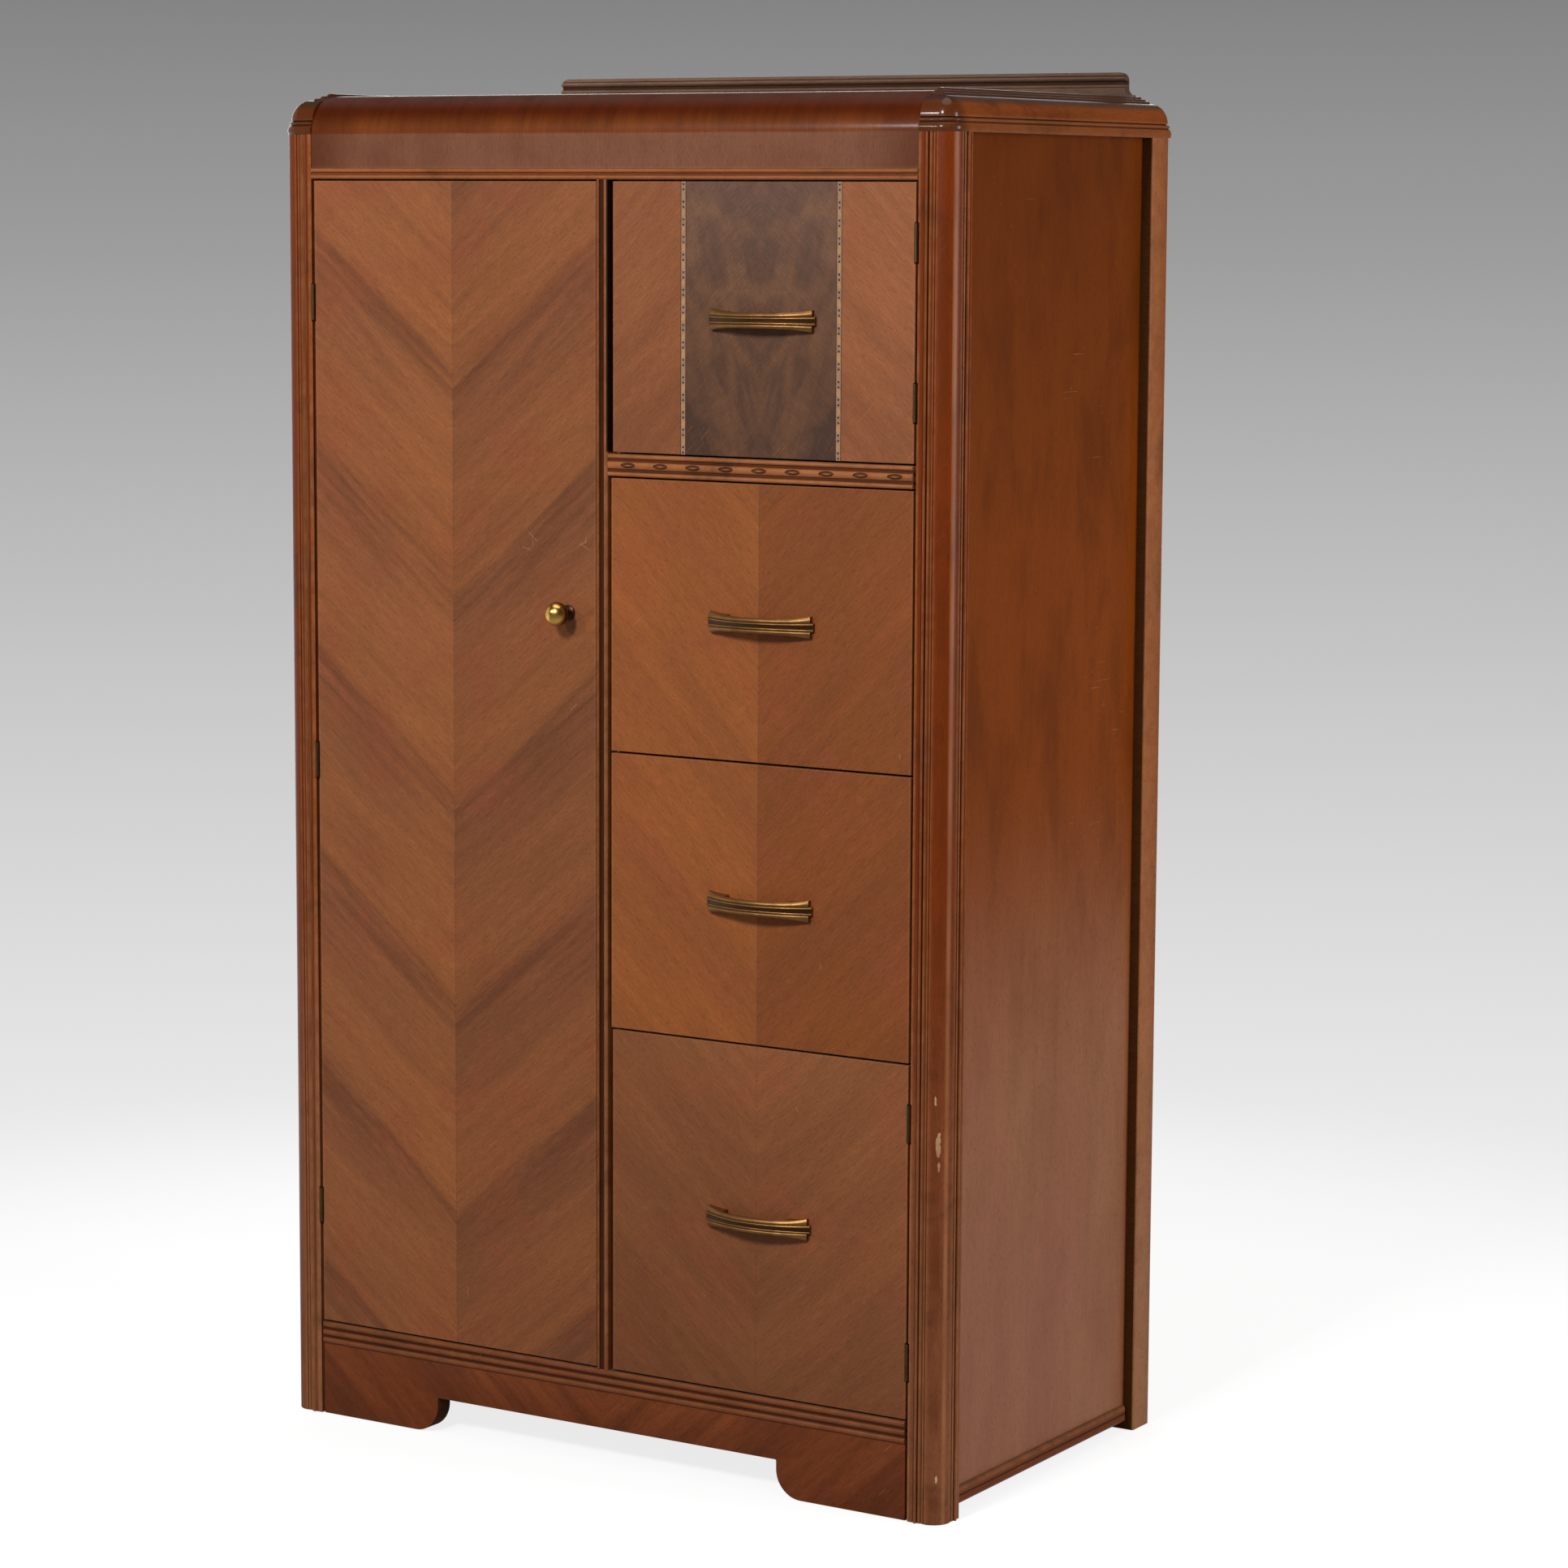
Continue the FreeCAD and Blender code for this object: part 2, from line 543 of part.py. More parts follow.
def cap_profile():
    """Outer line of a cap from its foot up: (distance in from the face of the post, height)."""
    z = POST_HEIGHT
    points = [(0.0, z)]
    reed_top = z + CAP_REED_HEIGHT
    points.append(((-CAP_OVERHANG, z + CAP_REED_HEIGHT / 2), (0.6, reed_top), "arc"))
    points.append((2.2, reed_top + CAP_QUIRK / 2))
    fine = reed_top + CAP_QUIRK
    points.append((2.0, fine))
    fine_top = fine + CAP_FINE_REED_HEIGHT
    points.append(((0.8, fine + CAP_FINE_REED_HEIGHT / 2), (2.6, fine_top), "arc"))
    round_foot = fine_top + CAP_QUIRK
    points.append((CAP_ROUND_INSET + 1.5, fine_top + CAP_QUIRK / 2))
    points.append((CAP_ROUND_INSET, round_foot))
    c = 1 - math.sqrt(0.5)
    top = (CAP_ROUND_INSET + CAP_ROUND_RADIUS, round_foot + CAP_ROUND_RADIUS)
    points.append(((CAP_ROUND_INSET + CAP_ROUND_RADIUS * c, top[1] - CAP_ROUND_RADIUS * c),
                   top, "arc"))
    rib_width = (POST_SIZE - top[0]) / CAP_RIBS
    d, z = top
    for _ in range(CAP_RIBS):
        points.append(((d + rib_width * 0.3, z + CAP_RIB_RISE * 0.85),
                       (d + rib_width, z + CAP_RIB_RISE), "arc"))
        d, z = d + rib_width, z + CAP_RIB_RISE
    return points


def top_cap():
    """Right-hand cap: the profile runs along the side and returns across the front of the
    post, round a corner of the post's own radius."""
    profile = cap_profile()
    crest = profile[-1][1]
    closing = [(CARCASS_DEPTH, crest[1]), (CARCASS_DEPTH, POST_HEIGHT)]

    def along_side(item):
        if len(item) == 3:
            return (along_side(item[0]), along_side(item[1]), "arc")
        return (HALF - item[0], item[1])

    side_points = [along_side(item) for item in profile] + [(INNER, POST_HEIGHT)]
    side_bar = outline(side_points, in_front_view(-CAP_OVERHANG - 1))
    side_bar = side_bar.extrude(V(0, CARCASS_DEPTH + CAP_OVERHANG + 1, 0))
    front_bar = outline(profile + closing, in_side_view(INNER))
    front_bar = front_bar.extrude(V(POST_SIZE + CAP_OVERHANG + 1, 0, 0))
    body = side_bar.common(front_bar)

    # The corner, where the profile turns about the centre of the post's rounded corner.
    r = POST_CORNER_RADIUS
    centre = V(HALF - r, r, 0)
    corner_box = box(centre.x, HALF + 2 * CAP_OVERHANG, -2 * CAP_OVERHANG, r,
                     POST_HEIGHT - 1, crest[1] + 1)
    reach = CAP_ROUND_INSET + CAP_ROUND_RADIUS - r
    round_z = crest[1] - CAP_RIBS * CAP_RIB_RISE - CAP_ROUND_RADIUS
    axis_z = round_z + math.sqrt(CAP_ROUND_RADIUS ** 2 - reach ** 2)
    turn = math.acos(reach / CAP_ROUND_RADIUS) / 2
    on_round = (CAP_ROUND_INSET + CAP_ROUND_RADIUS * (1 - math.cos(turn)),
                round_z + CAP_ROUND_RADIUS * math.sin(turn))
    lower = profile[:-CAP_RIBS - 1] + [(on_round, (r, axis_z), "arc"), (r, POST_HEIGHT)]

    def from_axis(item):
        if len(item) == 3:
            return (from_axis(item[0]), from_axis(item[1]), "arc")
        return (centre.x + r - item[0], item[1])

    quarter = outline([from_axis(item) for item in lower], in_front_view(r))
    quarter = quarter.revolve(centre, V(0, 0, 1), -90)
    return body.cut(corner_box).fuse(quarter).removeSplitter()


def gallery():
    """Low moulded rail on the rear edge of the top, its ends swept down to a plain step."""
    y1 = CARCASS_DEPTH
    y0 = y1 - GALLERY_THICKNESS
    z0, z1 = TOP_Z, TOP_Z + GALLERY_HEIGHT
    zs = z0 + GALLERY_STEP_HEIGHT
    rail_y = y0 + GALLERY_SET_BACK
    reed = (z1 - zs) / 6
    section = [(y1, z0), (y0, z0), (y0, zs), (rail_y, zs),
               bead((rail_y, zs), (rail_y, zs + reed), reed / 2),
               ((rail_y + reed, zs + 2 * reed), (rail_y, zs + 3 * reed), "arc"),
               bead((rail_y, zs + 3 * reed), (rail_y, zs + 4.5 * reed), reed / 2),
               bead((rail_y, zs + 4.5 * reed), (rail_y + reed, z1), reed / 2),
               (y1, z1)]
    end = INNER - GALLERY_END_GAP
    bar = outline(section, in_side_view(-end)).extrude(V(2 * end, 0, 0))
    rail_end = end - GALLERY_STEP_COVE
    r = GALLERY_END_RADIUS
    bend = r * (1 - math.sqrt(0.5))
    cove = GALLERY_STEP_COVE
    mid = cove * math.sqrt(0.5)
    right = [(end, z0), (end, zs - cove), ((end - mid, zs - mid), (rail_end, zs), "arc"),
             (rail_end, z1 - r), ((rail_end - bend, z1 - bend), (rail_end - r, z1), "arc")]
    left = [(-rail_end + r, z1), ((-rail_end + bend, z1 - bend), (-rail_end, z1 - r), "arc"),
            (-rail_end, zs), ((mid - end, zs - mid), (-end, zs - cove), "arc"), (-end, z0)]
    shape = outline(right + left, in_front_view(y0 - 1)).extrude(V(0, GALLERY_THICKNESS + 2, 0))
    return bar.common(shape)


# ---- Hinges ------------------------------
def hinge_leaf(z, on_frame):
    """One leaf of a right-hand hinge: a plate in the gap and its own knuckles."""
    side = 1 if on_frame else -1
    outer = HINGE_X + side * HINGE_SIDE_GAP / 2
    inner = outer - side * LEAF_THICKNESS
    x0, x1 = min(outer, inner), max(outer, inner)
    plate_y = KNUCKLE_RADIUS + LEAF_CLEARANCE
    bottom = z - HINGE_HEIGHT / 2
    leaf = box(x0, x1, plate_y, LEAF_DEPTH, bottom, bottom + HINGE_HEIGHT)
    pitch = (HINGE_HEIGHT + KNUCKLE_GAP) / KNUCKLES
    for index in range(0 if on_frame else 1, KNUCKLES, 2):
        z0 = bottom + index * pitch
        height = pitch - KNUCKLE_GAP
        knuckle = rod(KNUCKLE_RADIUS, height, V(HINGE_X, 0, z0), V(0, 0, 1))
        leaf = leaf.fuse(knuckle.fuse(box(x0, x1, 0, plate_y, z0, z0 + height)))
    bore = rod(PIN_RADIUS + PIN_CLEARANCE, HINGE_HEIGHT, V(HINGE_X, 0, bottom), V(0, 0, 1))
    return leaf.cut(bore).removeSplitter()


def hinge_pin(z):
    bottom = z - HINGE_HEIGHT / 2
    shank = rod(PIN_RADIUS, HINGE_HEIGHT, V(HINGE_X, 0, bottom), V(0, 0, 1))
    head = rod(KNUCKLE_RADIUS, PIN_HEAD_HEIGHT, V(HINGE_X, 0, bottom + HINGE_HEIGHT), V(0, 0, 1))
    return shank.fuse(head)


def leaf_screws(z, on_frame):
    """Two wood screws through a leaf of the right-hand hinge at height z."""
    side = 1 if on_frame else -1
    face = HINGE_X + side * (HINGE_SIDE_GAP / 2 - LEAF_THICKNESS)
    y = (KNUCKLE_RADIUS + LEAF_CLEARANCE + LEAF_DEPTH) / 2
    screws = []
    for dz in (-HINGE_HEIGHT / 4, HINGE_HEIGHT / 4):
        head_base = V(face - side * SCREW_HEAD_HEIGHT, y, z + dz)
        head = rod(SCREW_HEAD_RADIUS, SCREW_HEAD_HEIGHT, head_base, V(side, 0, 0))
        shank = rod(SCREW_RADIUS, SCREW_LENGTH, V(face, y, z + dz), V(side, 0, 0))
        screws.append(head.fuse(shank))
    return screws


def hinge_leaves(heights, on_frame):
    """The leaves of the right-hand hinges at these heights, with holes for their screws."""
    return [hinge_leaf(z, on_frame).cut(Part.makeCompound(leaf_screws(z, on_frame)))
            for z in heights]


def hinge_screws(heights, on_frame):
    return [screw for z in heights for screw in leaf_screws(z, on_frame)]


# ---- Doors, knob and pulls ------------------------------
def pull_holes(x, z):
    radius = BOLT_RADIUS + BOLT_CLEARANCE
    return Part.makeCompound([rod(radius, FRONT_THICKNESS, V(x + dx, FACE_SET, z), V(0, 1, 0))
                              for dx in (-PULL_BOLT_SPACING / 2, PULL_BOLT_SPACING / 2)])


def front_panel(x0, x1, z0, z1):
    return box(x0, x1, FACE_SET, FRONT_BACK, z0, z1)


def tall_door():
    """The left door, modelled on the right-hand side's hinge line and mirrored."""
    panel = front_panel(-TALL_DOOR_RIGHT, FRONT_RIGHT, LOWER_DOOR_Z, UPPER_DOOR_TOP)
    panel = hinged(panel, TALL_HINGES, False)
    bore = rod(SPINDLE_RADIUS + SPINDLE_CLEARANCE, FRONT_THICKNESS,
               V(-KNOB_X, FACE_SET, KNOB_HEIGHT), V(0, 1, 0))
    return mirrored(panel.cut(bore))


def small_door(z0, z1, heights):
    panel = hinged(front_panel(DOOR_LEFT, FRONT_RIGHT, z0, z1), heights, False)
    return panel.cut(pull_holes(PULL_X, (z0 + z1) / 2))


def knob():
    """Flattened ball on a waisted neck, turned about its axis."""
    foot = FACE_SET - TURN_CLEARANCE
    middle = FACE_SET - KNOB_PROJECTION + KNOB_THICKNESS / 2
    ball = Part.makeSphere(KNOB_RADIUS)
    flatten = FreeCAD.Matrix()
    flatten.scale(1, KNOB_THICKNESS / (2 * KNOB_RADIUS), 1)
    ball = ball.transformGeometry(flatten)
    ball.translate(V(KNOB_X, middle, KNOB_HEIGHT))
    rim = foot - KNOB_FOOT_HEIGHT
    waist = (rim + middle) / 2
    points = [(0, foot), (KNOB_FOOT_RADIUS, foot), (KNOB_FOOT_RADIUS, rim),
              ((KNOB_NECK_RADIUS + 0.8, rim - KNOB_FOOT_HEIGHT), (KNOB_NECK_RADIUS, waist), "arc"),
              (KNOB_NECK_RADIUS, middle), (0, middle)]
    face = outline(points, lambda p: V(KNOB_X + p[0], p[1], KNOB_HEIGHT))
    neck = face.revolve(V(KNOB_X, 0, KNOB_HEIGHT), V(0, 1, 0), 360)
    return ball.fuse(neck)


def latch():
    """Spindle through the door with the turn tongue behind it, pointing down when free."""
    foot = FACE_SET - TURN_CLEARANCE
    length = TONGUE_Y + TONGUE_THICKNESS - foot
    spindle = rod(SPINDLE_RADIUS, length, V(KNOB_X, foot, KNOB_HEIGHT), V(0, 1, 0))
    half = TONGUE_WIDTH / 2
    tongue = box(KNOB_X - half, KNOB_X + half, TONGUE_Y, TONGUE_Y + TONGUE_THICKNESS,
                 KNOB_HEIGHT - TONGUE_LENGTH, KNOB_HEIGHT + half)
    return spindle.fuse(tongue)


def bow_pull(x, z):
    """Bow pull: a band bent outwards, flared to its solid ends, with a sunk channel along
    its middle that runs out past the ends as a tongue."""
    half = PULL_LENGTH / 2
    tip = half + PULL_TONGUE
    y_tip = FACE_SET - PULL_BAND
    y_front = y_tip - PULL_BOW
    radius = (tip ** 2 + PULL_BOW ** 2) / (2 * PULL_BOW)

    def bow_cylinder(r):
        base = V(x, y_front + radius, z - PULL_END_HEIGHT / 2)
        return rod(r, PULL_END_HEIGHT, base, V(0, 0, 1))

    mid, end, tongue = PULL_MID_HEIGHT / 2, PULL_END_HEIGHT / 2, PULL_CHANNEL_HEIGHT
    elevation = [(x - half, z - end), ((x, z - mid), (x + half, z - end), "arc"),
                 (x + half, z - tongue), (x + tip, z - tongue), (x + tip, z + tongue),
                 (x + half, z + tongue), (x + half, z + end),
                 ((x, z + mid), (x - half, z + end), "arc"), (x - half, z + tongue),
                 (x - tip, z + tongue), (x - tip, z - tongue), (x - half, z - tongue)]
    solid = outline(elevation, in_front_view(y_front - 1))
    solid = solid.extrude(V(0, FACE_SET - y_front + 1, 0)).common(bow_cylinder(radius))
    leg = half - PULL_LEG
    hollow = bow_cylinder(radius - PULL_BAND).common(
        box(x - leg, x + leg, y_front, FACE_SET, z - end, z + end))
    level = box(x - tip, x + tip, y_front - 1, FACE_SET,
                z - PULL_CHANNEL_HEIGHT / 2, z + PULL_CHANNEL_HEIGHT / 2)
    channel = level.cut(bow_cylinder(radius - PULL_CHANNEL_DEPTH))
    return solid.cut(hollow).cut(channel)


def pull_bolts(x, z):
    bolts = []
    for dx in (-PULL_BOLT_SPACING / 2, PULL_BOLT_SPACING / 2):
        shank = rod(BOLT_RADIUS, FRONT_THICKNESS, V(x + dx, FACE_SET, z), V(0, 1, 0))
        head = rod(BOLT_HEAD_RADIUS, BOLT_HEAD_HEIGHT, V(x + dx, FRONT_BACK, z), V(0, 1, 0))
        bolts.append(shank.fuse(head))
    return bolts


# ---- Drawers ------------------------------
def write_drawer(name, z0, z1, floor_z, head_z):
    """A drawer: front, two sides, back and bottom, with its pull. It runs just above
    floor_z and clears head_z."""
    t = DRAWER_SIDE_THICKNESS
    middle = (z0 + z1) / 2
    front = front_panel(DRAWER_LEFT, FRONT_RIGHT, z0, z1).cut(pull_holes(PULL_X, middle))
    low, high = floor_z + DRAWER_RUN_GAP, head_z - DRAWER_HEADROOM
    left_side = box(BOX_LEFT, BOX_LEFT + t, FRONT_BACK, DRAWER_DEPTH, low, high)
    right_side = box(BOX_RIGHT - t, BOX_RIGHT, FRONT_BACK, DRAWER_DEPTH, low, high)
    back = box(BOX_LEFT + t, BOX_RIGHT - t, DRAWER_DEPTH - t, DRAWER_DEPTH,
               low + DRAWER_BOTTOM_LIFT, high - DRAWER_BACK_DROP)
    bottom = box(BOX_LEFT + t, BOX_RIGHT - t, FRONT_BACK, DRAWER_DEPTH - t,
                 low + DRAWER_BOTTOM_LIFT, low + DRAWER_BOTTOM_LIFT + DRAWER_BOTTOM_THICKNESS)
    write(name + "_front", front)
    write(name + "_sides", left_side, right_side)
    write(name + "_back", back)
    write(name + "_bottom", bottom)
    write(name + "_pull", bow_pull(PULL_X, middle))
    write(name + "_pull_bolts", *pull_bolts(PULL_X, middle))


def side_strips(z0, z1, left_x, right_x):
    """A pair of strips along the drawers' way, on the partition and on the side panel."""
    y0 = STOP_Y + RAIL_DEPTH
    return [box(PARTITION_RIGHT, left_x, y0, REAR_POST_Y, z0, z1),
            box(right_x, PANEL_IN, y0, REAR_POST_Y, z0, z1)]


# ---- Catches and rod ------------------------------
def catch_clip(z):
    """Spring clip on the partition: two lips with a level slot between them."""
    y0 = FRONT_BACK + CATCH_SET
    body = box(PARTITION_RIGHT, PARTITION_RIGHT + CATCH_SIZE, y0, y0 + CATCH_SIZE,
               z - CATCH_SIZE / 2, z + CATCH_SIZE / 2)
    slot = STRIKE_THICKNESS / 2 + STRIKE_CLEARANCE
    return body.cut(box(PARTITION_RIGHT + STRIKE_PLATE_THICKNESS, HALF, y0,
                        y0 + CATCH_SIZE - STRIKE_PLATE_THICKNESS, z - slot, z + slot))


def catch_strike(z):
    """Flat strike on the back of a door that enters the spring clip."""
    x0 = DOOR_LEFT + STRIKE_PLATE_THICKNESS
    plate = box(x0, x0 + STRIKE_PLATE, FRONT_BACK, FRONT_BACK + STRIKE_PLATE_THICKNESS,
                z - STRIKE_PLATE / 2, z + STRIKE_PLATE / 2)
    tab = box(x0, x0 + STRIKE_WIDTH, FRONT_BACK, FRONT_BACK + STRIKE_REACH,
              z - STRIKE_THICKNESS / 2, z + STRIKE_THICKNESS / 2)
    return plate.fuse(tab)


def rod_socket(x, inward):
    """Cup that holds one end of the hanging rod, on the wall at x."""
    base = V(x, ROD_Y, ROD_Z)
    direction = V(inward, 0, 0)
    plate = rod(SOCKET_RADIUS, SOCKET_PLATE, base, direction)
    cup = rod(ROD_RADIUS + SOCKET_PLATE, SOCKET_LENGTH, base, direction)
    seat = rod(ROD_RADIUS + ROD_CLEARANCE, SOCKET_LENGTH, base, direction)
    return plate.fuse(cup).cut(seat)


def back_screws():
    """Round-headed screws down both edges of the back panel."""
    x = INNER + BACK_LAP / 2
    step = (POST_HEIGHT - 2 * BACK_SCREW_MARGIN - APRON_HEIGHT) / (BACK_SCREW_ROWS - 1)
    heads = []
    for index in range(BACK_SCREW_ROWS):
        z = APRON_HEIGHT + BACK_SCREW_MARGIN + index * step
        for side in (-1, 1):
            heads.append(rod(BACK_SCREW_RADIUS, BACK_SCREW_HEIGHT, V(side * x, CARCASS_DEPTH, z),
                             V(0, 1, 0)))
    return heads


# ---- Write every node ------------------------------
def main():
    os.makedirs("parts", exist_ok=True)

    # Carcass
    right_heights = UPPER_HINGES + LOWER_HINGES
    write("front_post_right", front_post(right_heights))
    write("front_post_left", mirrored(front_post(TALL_HINGES)))
    for name, shape in (("rear_post", rear_post()), ("side_panel", side_panel()),
                        ("side_base_moulding", side_base_moulding()), ("top_cap", top_cap())):
        write(name + "_right", shape)
        write(name + "_left", mirrored(shape))
    write("waterfall_top", waterfall_top())
    write("gallery_rail", gallery())
    write("top_rail", box(-INNER, INNER, STOP_Y, STOP_Y + TOP_RAIL_DEPTH, TOP_RAIL_Z, ROLL_Z))
    write("centre_partition", centre_partition())
    write("bottom_board", board(-PANEL_IN, PANEL_IN, BASE_TOP - BOARD_THICKNESS))
    write("cupboard_floor", board(PARTITION_RIGHT, PANEL_IN, CARVED_TOP - BOARD_THICKNESS))
    write("drawer_deck", board(PARTITION_RIGHT, PANEL_IN, DECK_Z))
    board_z = BASE_TOP - BOARD_THICKNESS
    foot_z = board_z - REAR_RAIL_HEIGHT
    lap = INNER + BACK_LAP
    back = box(-lap, lap, BACK_Y, CARCASS_DEPTH, foot_z, POST_HEIGHT)
    back = back.fuse(box(-INNER, INNER, BACK_Y, CARCASS_DEPTH, POST_HEIGHT, CEILING_Z))
    write("back_panel", back.removeSplitter())
    write("rear_rail", box(-INNER, INNER, BACK_Y - REAR_RAIL_THICKNESS, BACK_Y, foot_z, board_z))
    write("corner_blocks", *corner_blocks())

    # Front mouldings and apron
    end = INNER - HINGE_SIDE_GAP
    write("frieze_moulding", even_moulding(-INNER, INNER, FRIEZE_Z, FRIEZE_HEIGHT, 2))
    write("base_moulding", even_moulding(-end, end, APRON_HEIGHT, BASE_MOULDING_HEIGHT, 3))
    write("carved_rail", carved_rail(CENTRE_RIGHT, end))
    write("centre_moulding", centre_moulding())
    write("apron", apron())

    # Drawer frame
    rail_top = DRAWER_RAIL_Z + RAIL_THICKNESS
    deck_top = DECK_Z + BOARD_THICKNESS
    write("drawer_rail", box(PARTITION_RIGHT, INNER, STOP_Y, STOP_Y + RAIL_DEPTH, DRAWER_RAIL_Z,
                             rail_top))
    runners = side_strips(DRAWER_RAIL_Z, rail_top, PARTITION_RIGHT + RUNNER_WIDTH,
                          BOX_RIGHT - RUNNER_WIDTH)
    for z in (rail_top, deck_top):
        runners += side_strips(z, z + GUIDE_HEIGHT, BOX_LEFT - DRAWER_RUN_GAP,
                               BOX_RIGHT + DRAWER_RUN_GAP)
    write("drawer_runners", *runners)

    # Hanging rod
    write("hanging_rod", rod(ROD_RADIUS, PARTITION_LEFT + PANEL_IN, V(-PANEL_IN, ROD_Y, ROD_Z),
                             V(1, 0, 0)))
    write("rod_sockets", rod_socket(-PANEL_IN, 1), rod_socket(PARTITION_LEFT, -1))

    # Hinges, catches and screws on the frame
    write("frame_hinge_leaves", *(hinge_leaves(right_heights, True)
                                  + [mirrored(leaf) for leaf in hinge_leaves(TALL_HINGES, True)]))
    write("hinge_pins", *([hinge_pin(z) for z in right_heights]
                          + [mirrored(hinge_pin(z)) for z in TALL_HINGES]))
    write("frame_screws", *(hinge_screws(right_heights, True) + back_screws()
                            + [mirrored(screw) for screw in hinge_screws(TALL_HINGES, True)]))
    catch_heights = [UPPER_DOOR_Z + UPPER_DOOR_HEIGHT / 2, LOWER_DOOR_Z + LOWER_DOOR_HEIGHT / 2]
    write("catch_clips", *[catch_clip(z) for z in catch_heights])

    # Tall left door with its turning knob
    write("tall_door", tall_door())
    write("tall_door_hinge_leaves", *[mirrored(leaf) for leaf in hinge_leaves(TALL_HINGES, False)])
    write("tall_door_screws", *[mirrored(screw) for screw in hinge_screws(TALL_HINGES, False)])
    write("door_knob", knob())
    write("turn_latch", latch())

    # The two small doors
    for name, z0, z1, heights in (("upper_door", UPPER_DOOR_Z, UPPER_DOOR_TOP, UPPER_HINGES),
                                  ("lower_door", LOWER_DOOR_Z, LOWER_DOOR_TOP, LOWER_HINGES)):
        middle = (z0 + z1) / 2
        write(name, small_door(z0, z1, heights))
        write(name + "_hinge_leaves", *hinge_leaves(heights, False))
        write(name + "_pull", bow_pull(PULL_X, middle))
        write(name + "_fixings", *(hinge_screws(heights, False) + pull_bolts(PULL_X, middle)))
        write(name + "_strike", catch_strike(middle))

    # The two drawers
    write_drawer("upper_drawer", UPPER_DRAWER_Z, UPPER_DRAWER_TOP, rail_top, CARVED_Z)
    write_drawer("lower_drawer", LOWER_DRAWER_Z, LOWER_DRAWER_TOP, deck_top, DRAWER_RAIL_Z)


main()
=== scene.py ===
"""Waterfall chifforobe: the looks of the wood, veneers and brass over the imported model.

Laid out as an add-on: sizes and colours are properties, each piece or group of like
pieces is an operator, and main() runs them in order. Lengths are metres, +Z is up,
the front faces -Y and the frame's own boxes say where each piece lies.
"""
import math

import bpy
import numpy as np
from mathutils import Matrix, Vector


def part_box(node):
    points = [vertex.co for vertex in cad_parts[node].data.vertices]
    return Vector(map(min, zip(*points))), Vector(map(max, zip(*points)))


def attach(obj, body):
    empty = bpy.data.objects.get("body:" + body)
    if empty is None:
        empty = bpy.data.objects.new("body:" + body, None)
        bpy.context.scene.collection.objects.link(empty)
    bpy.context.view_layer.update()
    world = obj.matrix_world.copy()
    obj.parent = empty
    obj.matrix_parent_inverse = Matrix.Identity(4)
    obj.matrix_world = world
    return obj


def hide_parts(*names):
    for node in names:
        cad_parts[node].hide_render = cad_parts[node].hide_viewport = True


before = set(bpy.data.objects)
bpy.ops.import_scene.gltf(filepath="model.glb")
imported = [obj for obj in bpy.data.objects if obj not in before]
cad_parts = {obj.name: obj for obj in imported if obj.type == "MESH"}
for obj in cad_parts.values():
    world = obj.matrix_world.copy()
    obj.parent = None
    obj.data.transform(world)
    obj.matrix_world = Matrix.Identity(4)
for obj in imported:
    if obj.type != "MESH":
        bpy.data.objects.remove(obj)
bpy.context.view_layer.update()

bl_info = {
    "name": "Waterfall chifforobe",
    "version": (1, 0, 0),
    "blender": (4, 5, 0),
    "location": "View3D > Sidebar > Chifforobe",
    "description": "Makes the posts, mouldings, veneered fronts and brass of a chifforobe",
    "category": "Object",
}


def corners(node):
    """Lowest and highest corner of a node of the frame, as two arrays."""
    low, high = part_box(node)
    return np.array(low), np.array(high)


POST_LOW, POST_HIGH = corners("front_post_right")
POST_X = float(POST_HIGH[0])
FACE_Y = float(POST_LOW[1])                      # front faces of the posts
REAR_Y = float(corners("rear_post_right")[1][1])
TALL_HINGES = (0.26, 0.80625, 1.3525)            # middle heights of the hinges
UPPER_HINGES = (1.256, 1.4295)
LOWER_HINGES = (0.183, 0.4555)
HINGE_HALF = 0.0225                              # half height of a hinge's notch
VALLEY = 0.001                                   # sunk floor between level reeds
END_ROUND = 0.0022                               # rounding of a moulding's ends
CAP_START, CAP_ROUND = 0.0035, 0.0235            # quarter round of a cap: set back, radius
PULL_TONGUE, PULL_FOOT, PULL_BAND = 0.003, 0.025, 0.004
INLAY_OFF, INLAY_PITCH = 0.1022, 0.0196          # strips from the seam, lens to lens
RIGHT_SEAM = 0.212                               # seam of the right-hand fronts
PAINTED_GAP_SHADOW = (0.02, 0.009, 0.005)                     # painted shadow in the narrow gap beside the upper door
PORE = (0.03, 0.012, 0.006)
DUST = (0.42, 0.38, 0.34)


def ink(red, green, blue):
    """Linear colour from 0 to 255 screen values: c/12.92 below 0.04045, else
    ((c + 0.055) / 1.055) ** 2.4."""
    c = np.array((red, green, blue)) / 255
    return tuple(np.where(c <= 0.04045, c / 12.92, ((c + 0.055) / 1.055) ** 2.4).tolist())


# ---- Sizes and colours a user may change ------------------------------
def length(name, description, default):
    return bpy.props.FloatProperty(name=name, description=description, default=default,
                                   unit="LENGTH", subtype="DISTANCE", precision=4)


def colour(name, description, *screen):
    return bpy.props.FloatVectorProperty(name=name, description=description, size=3, min=0.0,
                                         max=1.0, subtype="COLOR", default=ink(*screen))


